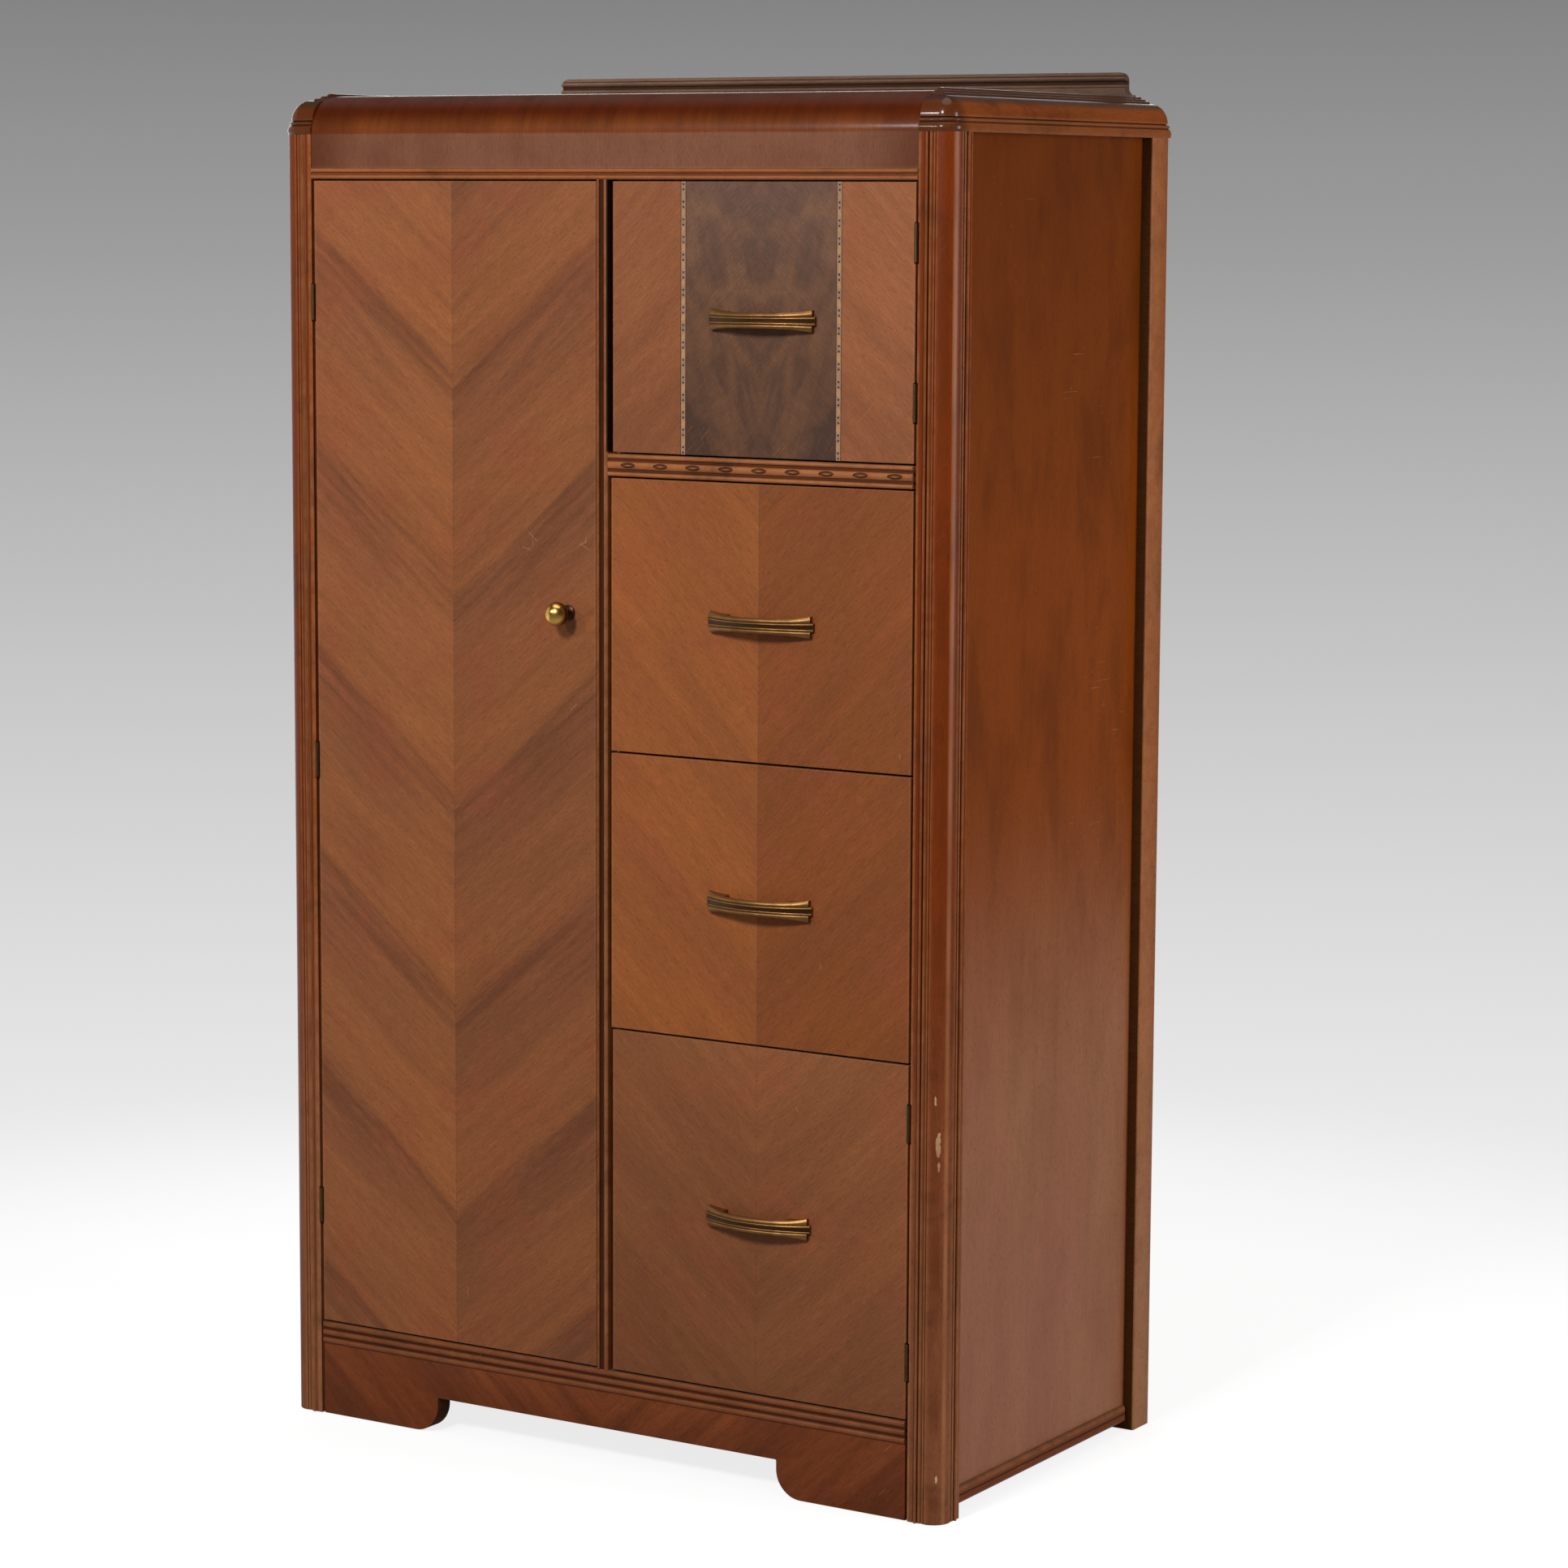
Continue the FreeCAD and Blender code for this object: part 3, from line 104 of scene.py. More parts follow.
class ChifforobeSizes(bpy.types.PropertyGroup):
    strip_width: length("Post strip", "Flat strip along the inner edge of a post", 0.0085)
    cove_depth: length("Cove depth", "Depth of the cove beside the strip", 0.0042)
    reed_sink: length("Reed sink", "Depth of the valleys between the reeds of a post", 0.0012)
    corner_radius: length("Post corner", "Radius of the outer corner of a front post", 0.021)
    edge: length("Eased edge", "Rounding of the edges of doors and drawer fronts", 0.0009)
    moulding_proud: length("Reed height", "How far the level reeds stand before the posts", 0.002)
    roll_radius: length("Waterfall radius", "Outer radius of the rolled front edge", 0.045)
    pull_length: length("Pull length", "Length of a bow pull without its tongues", 0.134)
    pull_bow: length("Pull bow", "From the ends to the middle of the bow", 0.019)
    pull_flare: length("Pull flare", "Half height of a pull at its ends", 0.0122)
    knob_radius: length("Knob radius", "Radius of the brass knob", 0.014)
    figure_period: length("Figure period", "Height from band to band on the tall door", 0.248)


class ChifforobeColours(bpy.types.PropertyGroup):
    tall_left: colour("Tall door, left leaf", "Veneer left of the seam", 133, 80, 50)
    tall_right: colour("Tall door, right leaf", "Veneer right of the seam", 122, 73, 45)
    tall_light: colour("Tall door, light", "Light figure above each band", 151, 90, 46)
    tall_band: colour("Tall door, bands", "Dark figure of the tall door", 91, 53, 34)
    veneer_red: colour("Matched veneer, red", "Redder patches of the matched veneer", 134, 68, 44)
    drawer_left: colour("Drawers, left leaf", "Veneer left of the seam", 146, 83, 41)
    drawer_right: colour("Drawers, right leaf", "Veneer right of the seam", 129, 71, 34)
    cupboard_leaf: colour("Lower door", "Veneer of the lower door", 129, 78, 46)
    outer_panel: colour("Upper door, sides", "Outer veneers of the upper door", 139, 83, 51)
    burl_light: colour("Burl, light", "Light feathers of the centre veneer", 116, 78, 54)
    burl_dark: colour("Burl, dark", "Dark clouds of the centre veneer", 80, 56, 45)
    burl_smoke: colour("Burl, smoke", "Grey haze high in the centre veneer", 120, 92, 78)
    inlay_light: colour("Inlay", "Pale wood of the inlaid strips", 141, 111, 89)
    inlay_gold: colour("Inlay lens", "Golden lenses of the inlaid strips", 177, 130, 73)
    inlay_dark: colour("Inlay dots", "Dark wood of the inlaid strips", 58, 38, 24)
    fascia: colour("Fascia", "Straight veneer of the waterfall top", 114, 73, 53)
    roll: colour("Roll", "Veneer of the rolled edge, just above the fascia", 109, 54, 16)
    # Also the painted shade on the upper part of the roll.
    roll_dark: colour("Roll, dark", "Veneer of the rolled edge, near the top", 72, 24, 2)
    side: colour("Side", "Veneer of the side panels", 129, 60, 12)
    # Painted light: this pale tone near the floor stands for light from the floor.
    side_low: colour("Side, low", "Paler tone of the sides near the floor", 157, 108, 78)
    side_red: colour("Side, red", "Red patches low on the side panels", 154, 98, 76)
    # Also painted shade at the top of the sides and round the front posts' corners.
    side_dark: colour("Side, clouds", "Dark clouds of the side panels", 88, 38, 6)
    cap_wood: colour("Cap wood", "Stained wood of the caps", 130, 65, 23)
    moulding: colour("Posts", "Stained wood of the front posts", 109, 42, 4)
    reed: colour("Upper reeds", "Stained rear posts, frieze moulding and carved rail", 144, 80, 43)
    foot: colour("Base reeds", "Stained base, side and upright mouldings", 112, 56, 27)
    # Also painted shade across the front of the caps.
    moulding_dark: colour("Stain in hollows", "Stain in coves and valleys", 38, 15, 5)
    apron: colour("Apron", "Light figure of the apron", 126, 65, 35)
    apron_dark: colour("Apron, dark", "Dark figure of the apron", 84, 42, 23)
    # Painted shade: colour for faces that lie in shade.
    shade_wood: colour("Shaded wood", "Painted shade on the rear posts and the arch", 86, 50, 22)
    # Painted dark reflection on stained faces that look up.
    top_bloom: colour("Painted reflection on top", "Painted dark reflection where the stained wood faces up", 62, 38, 28)
    bare: colour("Bare wood", "Wood where the stain is knocked off", 206, 164, 122)
    gallery: colour("Gallery", "Dark stained wood of the gallery rail", 104, 79, 65)
    # Also the colour of the painted highlight on the front posts' corners.
    worn_and_highlit: colour("Worn edges", "Wood seen where the stain is worn", 186, 128, 82)
    inside: colour("Inside wood", "Plain wood of the inside", 158, 118, 78)
    hinge_bronze: colour("Hinges", "Dark bronze of the hinges", 104, 80, 52)
    brass: colour("Aged brass", "Brass of the pulls", 150, 109, 64)
    # Also painted shade on the knob's neck.
    channel: colour("Pull channel", "Dark channel of the pulls", 58, 32, 19)
    # Also painted shade on the back half of the knob.
    brass_dark: colour("Brass patina", "Dark patina in the hollows", 66, 44, 24)
    knob_brass: colour("Polished brass", "Brass of the knob", 226, 178, 92)
    steel: colour("Steel", "Screws, bolts and clips", 150, 148, 143)
    floor: colour("Floor", "Pale studio floor", 140, 140, 140)


# ---- Surfaces ------------------------------
def cols(*parts):
    """Numbers and arrays brought to one shape and set side by side along a new last axis."""
    return np.stack(np.broadcast_arrays(*parts), -1).astype(float)


def arc(centre, radius, start, end, count=9):
    """Points of a 2-D circle: centre + radius (cos t, sin t), t in degrees from start to end."""
    t = np.radians(np.linspace(start, end, count))
    return cols(centre[0] + radius * np.cos(t), centre[1] + radius * np.sin(t))


def bead(start, end, height, count=9):
    """Points from start to end that bulge to the left: chord + 4 s (1 - s) height normal,
    with s from 0 to 1 along the chord."""
    start, end = np.asarray(start, float), np.asarray(end, float)
    s = np.linspace(0, 1, count)[:, None]
    run = end - start
    normal = np.array((-run[1], run[0])) / np.hypot(*run)
    return start + run * s + 4 * s * (1 - s) * height * normal


def path(*parts):
    """Points and rows of points joined into one array, doubled points left out."""
    rows = np.vstack([np.atleast_2d(np.asarray(part, float)) for part in parts])
    return rows[np.append(True, np.hypot(*np.diff(rows, axis=0).T) > 1e-7)]


def fallen(radius, reach):
    """Height of a quarter circle of that radius at reach from its middle, 0 past its end:
    sqrt(radius^2 - max(reach, 0)^2)."""
    return np.sqrt(np.maximum(radius ** 2 - np.maximum(reach, 0) ** 2, 0))


def inset(ring, distance):
    """A closed 2-D ring moved to its left by distance: each point goes along the mean of
    its two edges' normals, divided by the cosine of half the turn."""
    before = ring - np.roll(ring, 1, 0)
    after = np.roll(ring, -1, 0) - ring
    before /= np.hypot(*before.T)[:, None]
    after /= np.hypot(*after.T)[:, None]
    mean = before + after
    mean /= np.maximum(np.hypot(*mean.T), 1e-6)[:, None]
    turn = np.maximum((mean * after).sum(1), 0.4)[:, None]
    return ring + distance * cols(-mean[:, 1], mean[:, 0]) / turn


def hollows(ring, reach=0.0025):
    """How far each point of a closed ring lies inside the middle of the chord between the
    ring's points reach before and after it, in millimetres: above 0 in hollows, below 0 on
    edges."""
    closed = np.vstack((ring, ring[:1]))
    s = np.concatenate(([0], np.cumsum(np.linalg.norm(np.diff(closed, axis=0), axis=1))))

    def at(shift):
        where = (s[:-1] + shift) % s[-1]
        return cols(*(np.interp(where, s, column) for column in closed.T))

    normal = np.cross(ring - ring.mean(0), np.roll(ring, -1, 0) - ring.mean(0)).sum(0)
    outward = np.cross(at(1e-4) - at(-1e-4), normal)
    outward /= np.maximum(np.linalg.norm(outward, axis=1), 1e-12)[:, None]
    return 1000 * (((at(reach) + at(-reach)) / 2 - ring) * outward).sum(1)


def skin(name, rings, finishes=(), ends="face", sharp=32, values=None, faces_by=None):
    """A closed skin over rings[i, j], point j of ring i: a quad joins each pair of
    neighbours on two neighbouring rings. The ends are closed by one face each, by a ladder
    of quads between the two halves of the ring, or not at all. values are point attributes
    by name; faces_by(ring, point) numbers each quad's finish."""
    rings = np.asarray(rings, float)
    m, n, _ = rings.shape
    i, j = np.meshgrid(np.arange(m - 1), np.arange(n), indexing="ij")
    k = (j + 1) % n
    quads = cols(i * n + j, i * n + k, (i + 1) * n + k, (i + 1) * n + j)
    quads = quads.reshape(-1, 4).astype(int)
    points = rings.reshape(-1, 3)
    a, b, c, d = (points[quads[:, q]] for q in range(4))
    middle = points.mean(0)
    volume = np.einsum("ij,ij->i", np.cross(c - a, d - b), (a + b + c + d) / 4 - middle).sum()
    last = (m - 1) * n
    caps = []
    if ends == "ladder":
        q = np.arange(n // 2 - 1)
        first = np.stack((q, n - 1 - q, n - 2 - q, q + 1), 1)
        caps = np.vstack((first, last + first[:, ::-1])).tolist()
    elif ends == "face":
        caps = [list(range(n))[::-1], list(range(last, last + n))]
    loops = quads.tolist() + caps
    if volume < -1e-12:                          # a flat sheet has no inside
        loops = [loop[::-1] for loop in loops]
    mesh = bpy.data.meshes.new(name)
    mesh.from_pydata(points.tolist(), [], loops)
    mesh.validate()
    values = {"relief": np.tile(hollows(rings[m // 2]), m), **(values or {})}
    for key, column in values.items():
        attribute = mesh.attributes.new(key, "FLOAT", "POINT")
        attribute.data.foreach_set("value", np.ravel(column).astype(np.float32))
    if faces_by is not None:
        number = np.append(faces_by(i, j).ravel(), np.zeros(len(caps))).astype(np.int32)
        mesh.polygons.foreach_set("material_index", number)
    mesh.shade_smooth()
    mesh.set_sharp_from_angle(angle=math.radians(sharp))
    mesh.update()
    piece = bpy.data.objects.new(name, mesh)
    bpy.context.scene.collection.objects.link(piece)
    for finish in finishes:
        mesh.materials.append(finish_named(finish))
    return piece


def dress(name, rings, finishes, *nodes, body="carcass", slot="dark_moulding_wood", **more):
    """A skin that rides on a body and stands for the nodes it replaces; finishes are names
    with commas between."""
    piece = skin(name, rings, finishes.split(", "), **more)
    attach(piece, body)
    if nodes:
        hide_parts(*nodes)


def dress_pair(name, node, rings, finishes, **more):
    """A piece for the right-hand node and, x changing its sign, one for the left-hand node."""
    for side, sign in (("right", 1), ("left", -1)):
        dress(f"{name}_{node}_{side}", [ring * (sign, 1, 1) for ring in rings], finishes,
              f"{node}_{side}", **more)


def up(outlines, heights):
    """Rings of plan outlines (x, y), each lifted to its own height."""
    return [cols(*outline.T, z) for outline, z in zip(outlines, heights)]


def spun(outline, centre, axis, count=40):
    """Rings of a turned shape: the outline (radius, height) carried round the axis through
    centre, as centre + radius (u cos t + v sin t) + height axis."""
    axis = np.asarray(axis, float)
    u = np.cross(axis, (0.0, 0.0, 1.0))
    v = np.cross(axis, u)
    t = np.linspace(0, 2 * np.pi, count, endpoint=False)[:, None]
    radius, height = np.asarray(outline, float).T[:, :, None, None]
    return (np.asarray(centre) + np.maximum(radius, 1e-5) * (np.cos(t) * u + np.sin(t) * v)
            + height * axis)


# ---- Nodes of a material or group ------------------------------
def maths(operation, turned=False):
    """A method that adds a Math node of that operation, its inputs turned round if asked."""
    def method(self, *others):
        return self.desk.math(operation, *((*others, self) if turned else (self, *others)))
    return method


class Signal:
    """An output of a node. Arithmetic and comparisons on it add Math nodes to its desk."""
    __add__ = __radd__ = maths("ADD")
    __mul__ = __rmul__ = maths("MULTIPLY")
    __sub__, __rsub__ = maths("SUBTRACT"), maths("SUBTRACT", turned=True)
    __truediv__ = maths("DIVIDE")
    __gt__, __lt__ = maths("GREATER_THAN"), maths("LESS_THAN")
    __abs__, larger = maths("ABSOLUTE"), maths("MAXIMUM")
    cosine, sine, fract, floor = (maths(kind) for kind in ("COSINE", "SINE", "FRACT", "FLOOR"))

    def __init__(self, desk, socket):
        self.desk, self.socket = desk, socket

    def ease(self, low, high, start=0.0, end=1.0, kind="SMOOTHSTEP"):
        """A smooth step, or a straight line if LINEAR, from start at low to end at high."""
        return self.desk.out("ShaderNodeMapRange", "Result", {
            "Value": self, "From Min": low, "From Max": high, "To Min": start, "To Max": end,
        }, interpolation_type=kind)


class Desk:
    """Adds nodes to one tree. An input takes a signal, a number, a vector, or a colour by
    its values or by its name among the properties."""

    def __init__(self, tree):
        self.tree = tree

    def feed(self, socket, value):
        if isinstance(value, Signal):
            self.tree.links.new(value.socket, socket)
            return
        if isinstance(value, str):
            value = tuple(getattr(bpy.context.scene.chifforobe_colours, value))
        socket.default_value = (*value, 1.0) if socket.type == "RGBA" else value

    def add(self, kind, inputs=(), **settings):
        """A new node with its settings, its inputs fed by name or number."""
        node = self.tree.nodes.new(kind)
        count = len(self.tree.nodes)
        node.location = (180 * (count % 12), -220 * (count // 12))
        for key, value in settings.items():
            setattr(node, key, value)
        for key, value in dict(inputs).items():
            self.feed(node.inputs[key], value)
        return node

    def out(self, kind, output, inputs=(), **settings):
        """One output of a new node."""
        return Signal(self, self.add(kind, inputs, **settings).outputs[output])

    def named(self, node):
        """The outputs of a node by name."""
        return {socket.name: Signal(self, socket) for socket in node.outputs}

    def math(self, operation, *values, clamp=False):
        return self.out("ShaderNodeMath", 0, enumerate(values), operation=operation,
                        use_clamp=clamp)

    def vector(self, operation, a, b=None):
        """A vector sum: SCALE takes a number second, and LENGTH gives a number."""
        inputs = {0: a} if b is None else {0: a, "Scale" if operation == "SCALE" else 1: b}
        output = "Value" if operation == "LENGTH" else 0
        return self.out("ShaderNodeVectorMath", output, inputs, operation=operation)

    def split(self, vector):
        return list(self.named(self.add("ShaderNodeSeparateXYZ", {0: vector})).values())

    def join(self, *parts):
        return self.out("ShaderNodeCombineXYZ", 0, enumerate(parts))

    def place(self):
        """The piece's own place, in metres."""
        return self.out("ShaderNodeTexCoord", "Object")

    def normal(self):
        return self.split(self.out("ShaderNodeNewGeometry", "Normal"))

    def value(self, attribute):
        """A point attribute of the piece."""
        return self.out("ShaderNodeAttribute", "Fac", attribute_name=attribute)

    def noise(self, vector, scale=1.0, detail=2.0, rough=0.5, bend=0.0):
        return self.out("ShaderNodeTexNoise", "Fac", {
            "Vector": vector, "Scale": scale, "Detail": detail, "Roughness": rough,
            "Distortion": bend})

    def mix(self, share, a, b):
        """Colour a with a share of colour b."""
        return self.out("ShaderNodeMix", 2, {0: share, 6: a, 7: b}, data_type="RGBA")

    def layers(self, ground, *coats):
        """Colours laid over a ground in turn, each coat a share and a colour."""
        for share, tone in coats:
            ground = self.mix(share, ground, tone)
        return ground

    def group(self, name, **inputs):
        return self.named(self.add("ShaderNodeGroup", inputs,
                                   node_tree=bpy.data.node_groups[name]))

    def give(self, **results):
        """The named outputs of a group."""
        for name in results:
            self.tree.interface.new_socket(name, in_out="OUTPUT", socket_type="NodeSocketFloat")
        self.add("NodeGroupOutput", results)


def new_group(name, **takes):
    """An empty node group, and its inputs by name: takes are their defaults, None for a
    vector."""
    desk = Desk(bpy.data.node_groups.new(name, "ShaderNodeTree"))
    for label, default in takes.items():
        kind = "NodeSocketVector" if default is None else "NodeSocketFloat"
        socket = desk.tree.interface.new_socket(label, in_out="INPUT", socket_type=kind)
        if default is not None:
            socket.default_value = default
    return desk, desk.named(desk.add("NodeGroupInput"))


def make_groups():
    """Builds the effects that several finishes share."""
    # Two leaves matched about a seam: lines run up and away from it at an angle.
    desk, take = new_group("matched leaves", Seam=0.0, Angle=0.7, Place=None)
    x, _, z = desk.split(take["Place"])
    from_seam = x - take["Seam"]
    away = abs(from_seam)
    cosine, sine = take["Angle"].cosine(), take["Angle"].sine()
    desk.give(Along=away * cosine + z * sine, Across=z * cosine - away * sine, Away=away,
              Right=from_seam > 0.0)

    # Grain: figure, long streaks, short pores and slow clouds, from lengths along and across.
    desk, take = new_group("wood grain", Along=0.0, Across=0.0, Depth=0.0, Width=0.0012,
                           Seed=0.0)
    along, wide, seed = take["Along"], take["Across"], take["Seed"]
    fine, deep = wide / take["Width"], take["Depth"] * 300.0 + seed
    streaks = desk.noise(desk.join(along * 60.0, fine, deep), 1.0, 3.0, 0.7)
    pores = desk.noise(desk.join(along * 190.0, fine * 1.3, deep), 1.0, 1.0).ease(0.56, 0.7)
    clouds = desk.noise(desk.join(along * 3.0, wide * 13.0, seed), 1.0, 3.0, 0.55, 0.6)
    figure = desk.noise(desk.join(along * 6.0, wide * 80.0, seed), 1.0, 4.0, 0.62, 0.2)
    desk.give(Figure=figure.ease(0.28, 0.72, kind="LINEAR"),
              Streaks=streaks.ease(0.25, 0.75, kind="LINEAR"), Pores=pores,
              Clouds=clouds.ease(0.3, 0.7), Height=streaks * 0.4 - pores)

    # Use: sparse scratches and pale specks, dust on top, and stain that gathers in hollows.
    desk, take = new_group("years of use", Place=None, Amount=1.0)
    spot = take["Place"]
    x, y, z = desk.split(spot)
    where = desk.noise(spot, 7.0)
    specks = desk.noise(spot, 260.0).ease(0.74, 0.78) * where.ease(0.52, 0.64)
    slant = desk.join((x + z) * 18.0, y * 18.0, (z - x) * 900.0)
    scratches = desk.noise(slant, 1.0, 1.0).ease(0.745, 0.77) * where.ease(0.52, 0.66)
    facing, bend = desk.normal()[2], desk.value("relief")
    rubbed = desk.noise(spot, 55.0, 3.0, 0.6).ease(0.3, 0.7, 0.45, 1.0)
    desk.give(Marks=specks.larger(scratches) * take["Amount"],
              Dust=facing.ease(0.6, 1.0) * desk.noise(spot, 30.0, 4.0, 0.6),
              Smears=desk.noise(spot, 5.0, 3.0, 0.6, 0.8),
              Edges=bend.ease(-0.12, -0.6) * rubbed, Hollows=bend.ease(0.04, 0.6),
              Up=facing.ease(0.55, 0.95))


# ---- Finishes ------------------------------
class Finish(Desk):
    """A new material with its Principled shader, the piece's place and its years of use."""

    def __init__(self, name, use, metallic=0.0, coat=0.0, coat_roughness=0.12, specular=0.16):
        self.material = bpy.data.materials.new(name)
        self.material.use_nodes = True
        super().__init__(self.material.node_tree)
        self.shader = self.tree.nodes["Principled BSDF"].inputs
        for socket, number in (("Metallic", metallic), ("Coat Weight", coat),
                               ("Coat Roughness", coat_roughness),
                               ("Specular IOR Level", specular)):
            self.shader[socket].default_value = number
        self.spot = self.place()
        self.x, self.y, self.z = self.split(self.spot)
        self.use = self.group("years of use", Place=self.spot, Amount=use)
        self.tone = None

    def paint(self, *coats):
        """Lays coats over the colour so far, and gives the shader the result."""
        self.tone = self.layers(self.tone, *coats)
        self.feed(self.shader["Base Color"], self.tone)

    def bump(self, height, strength, distance):
        bump = self.add("ShaderNodeBump", {"Height": height})
        bump.inputs["Strength"].default_value = strength
        bump.inputs["Distance"].default_value = distance
        self.tree.links.new(bump.outputs["Normal"], self.shader["Normal"])

    def wood(self, axes, width, seed):
        """Grain along, across and deep in the wood by the letters of axes."""
        along, wide, deep = (getattr(self, axis) for axis in axes)
        return self.group("wood grain", Along=along, Across=wide, Depth=deep, Width=width,
                          Seed=seed)

    def lacquer(self, tone, grain, gloss=0.3, streak=0.24, figure=0.1, wear=0.08):
        """Figure, streaks, pores, marks and dust over a wood's colour, and its satin
        lacquer. Figure and streaks, t from 0 to 1, scale the colour by 1 + a (2 t - 1)."""
        for value, amount in ((grain["Figure"], figure), (grain["Streaks"], streak)):
            tone = self.vector("SCALE", tone, (value * 2.0 - 1.0) * amount + 1.0)
        use, self.tone = self.use, tone
        self.paint((grain["Pores"] * 0.3, PORE), (use["Marks"] * 0.6, "worn_and_highlit"),
                   (use["Edges"] * wear, "worn_and_highlit"), (use["Dust"] * 0.10, DUST))
        self.feed(self.shader["Roughness"],
                  use["Smears"] * 0.12 + gloss + use["Dust"] * 0.25 + use["Marks"] * 0.3)
        self.bump(grain["Height"], 0.35, 0.00012)


class FrontFinish(Finish):
    """Veneer of a door or drawer front: matched leaves on its face, plain behind it."""

    def __init__(self, name, use, seam, slope, seed):
        super().__init__(name, use)
        leaf = self.leaf = self.group("matched leaves", Seam=seam, Angle=math.radians(slope),
                                      Place=self.spot)
        self.behind = self.y.ease(FACE_Y + 0.0040, FACE_Y + 0.0045)
        # Lines of the leaves on the face, upright lines behind it.
        along, wide = (self.behind * (plain - line) + line for plain, line in (
            (self.z, leaf["Along"]), (self.x, leaf["Across"])))
        self.grain = self.group("wood grain", Along=along, Across=wide, Width=0.0013, Seed=seed)

    def matched(self, tone):
        """Redder patches over matched veneer, and a fine dark line at its seam."""
        red = self.noise(self.spot, 9.0, 3.0, 0.6, 0.4).ease(0.45, 0.75, 0.0, 0.45)
        line = self.leaf["Away"].ease(0.0008, 0.0003, 0.0, 0.3)
        return self.layers(tone, (red, "veneer_red"), (line, "tall_band"))

    def scratched(self, tone, *strokes):
        """Pale scratches, each from (x, z) to (x, z): a point is scratched where the nearest
        point of the stroke, its start plus a clamped share t of its run, is under 0.6 mm
        away."""
        for x0, z0, x1, z1 in strokes:
            run_x, run_z = x1 - x0, z1 - z0
            square = run_x ** 2 + run_z ** 2
            u, v = self.x - x0, self.z - z0
            t = self.math("ADD", v * (run_z / square), u * (run_x / square), clamp=True)
            u, v = u - t * run_x, v - t * run_z
            tone = self.mix((u * u + v * v).ease(4e-7, 1e-7, 0.0, 0.2), tone, "bare")
        return tone

    def finish(self, tone, figure=0.1):
        """Plain veneer behind the face, and the lacquer over both."""
        plain = self.mix(self.grain["Clouds"] * 0.7, "cupboard_leaf", "inside")
        self.lacquer(self.mix(self.behind, tone, plain), self.grain, 0.34, figure=figure)


def tall_veneer(name):
    """V-matched veneer with dark bands: band phase = (first - across / cos) / period."""
    slope = 40
    desk = FrontFinish(name, 0.5, -0.2105, slope, 3.0)
    leaf, grain = desk.leaf, desk.grain
    wobble = desk.noise(desk.spot, 6.0, 3.0, 0.55)
    level = leaf["Across"] / math.cos(math.radians(slope)) + (wobble - 0.5) * 0.012
    level = level + leaf["Right"] * 0.016
    phase = ((2.511 - level) / bpy.context.scene.chifforobe_sizes.figure_period).fract()
    fade = phase.ease(0.0, leaf["Away"] * 2.0 + 0.2, 1.0, 0.0)
    dark = fade.larger(phase.ease(0.94, 1.0)) * grain["Figure"].ease(0.1, 0.9, 0.5, 0.1)
    gold = leaf["Away"].ease(0.14, 0.02, 0.0, 0.35) * (1.0 - leaf["Right"])
    # The two leaves differ in colour because each leaf's grain catches the light differently:
    # painted sheen.
    ground = desk.layers(desk.mix(leaf["Right"], "tall_left", "tall_right"),
                         (phase.ease(0.15, 0.7, 0.0, 0.3), "tall_light"), (gold, "tall_light"),
                         (dark, "tall_band"), (grain["Clouds"] * 0.2, "tall_band"))
    desk.finish(desk.scratched(
        desk.matched(ground), (-0.1019, 1.0932, -0.0904, 1.0833),
        (-0.0979, 1.0877, -0.0967, 1.0793), (-0.1111, 1.0754, -0.1013, 1.0739),
        (-0.0223, 1.0911, -0.0229, 1.0845), (-0.0229, 1.0854, -0.0319, 1.0818),
        (-0.0285, 1.0824, -0.0189, 1.0768), (-0.0435, 0.8907, -0.036, 0.8973),
        (-0.1947, 0.1869, -0.194, 0.1761)), figure=0.13)


def drawer_veneer(name):
    """Plain V-matched veneer of the two drawers, paler left of the seam."""
    desk = FrontFinish(name, 0.6, RIGHT_SEAM, 45, 11.0)
    ground = desk.layers(desk.mix(desk.leaf["Right"], "drawer_left", "drawer_right"),
                         (desk.grain["Clouds"] * 0.3, "tall_band"))
    desk.finish(desk.scratched(desk.matched(ground), (0.2957, 0.6263, 0.2962, 0.6199),
                               (0.3968, 0.8694, 0.3972, 0.864)))


def cupboard_veneer(name):
    """V-matched veneer of the lower door, its lines falling to the seam."""
    desk = FrontFinish(name, 0.6, RIGHT_SEAM, 42, 17.0)
    ground = desk.mix(desk.grain["Clouds"] * 0.3, "cupboard_leaf", "tall_band")
    ground = desk.vector("SCALE", desk.matched(ground),
                         (desk.x * 0.5 + desk.z).ease(0.15, 0.75, 0.85, 1.15))
    desk.finish(desk.scratched(ground, (0.1378, 0.2257, 0.1428, 0.2221),
                               (0.2646, 0.4576, 0.2678, 0.4533)))


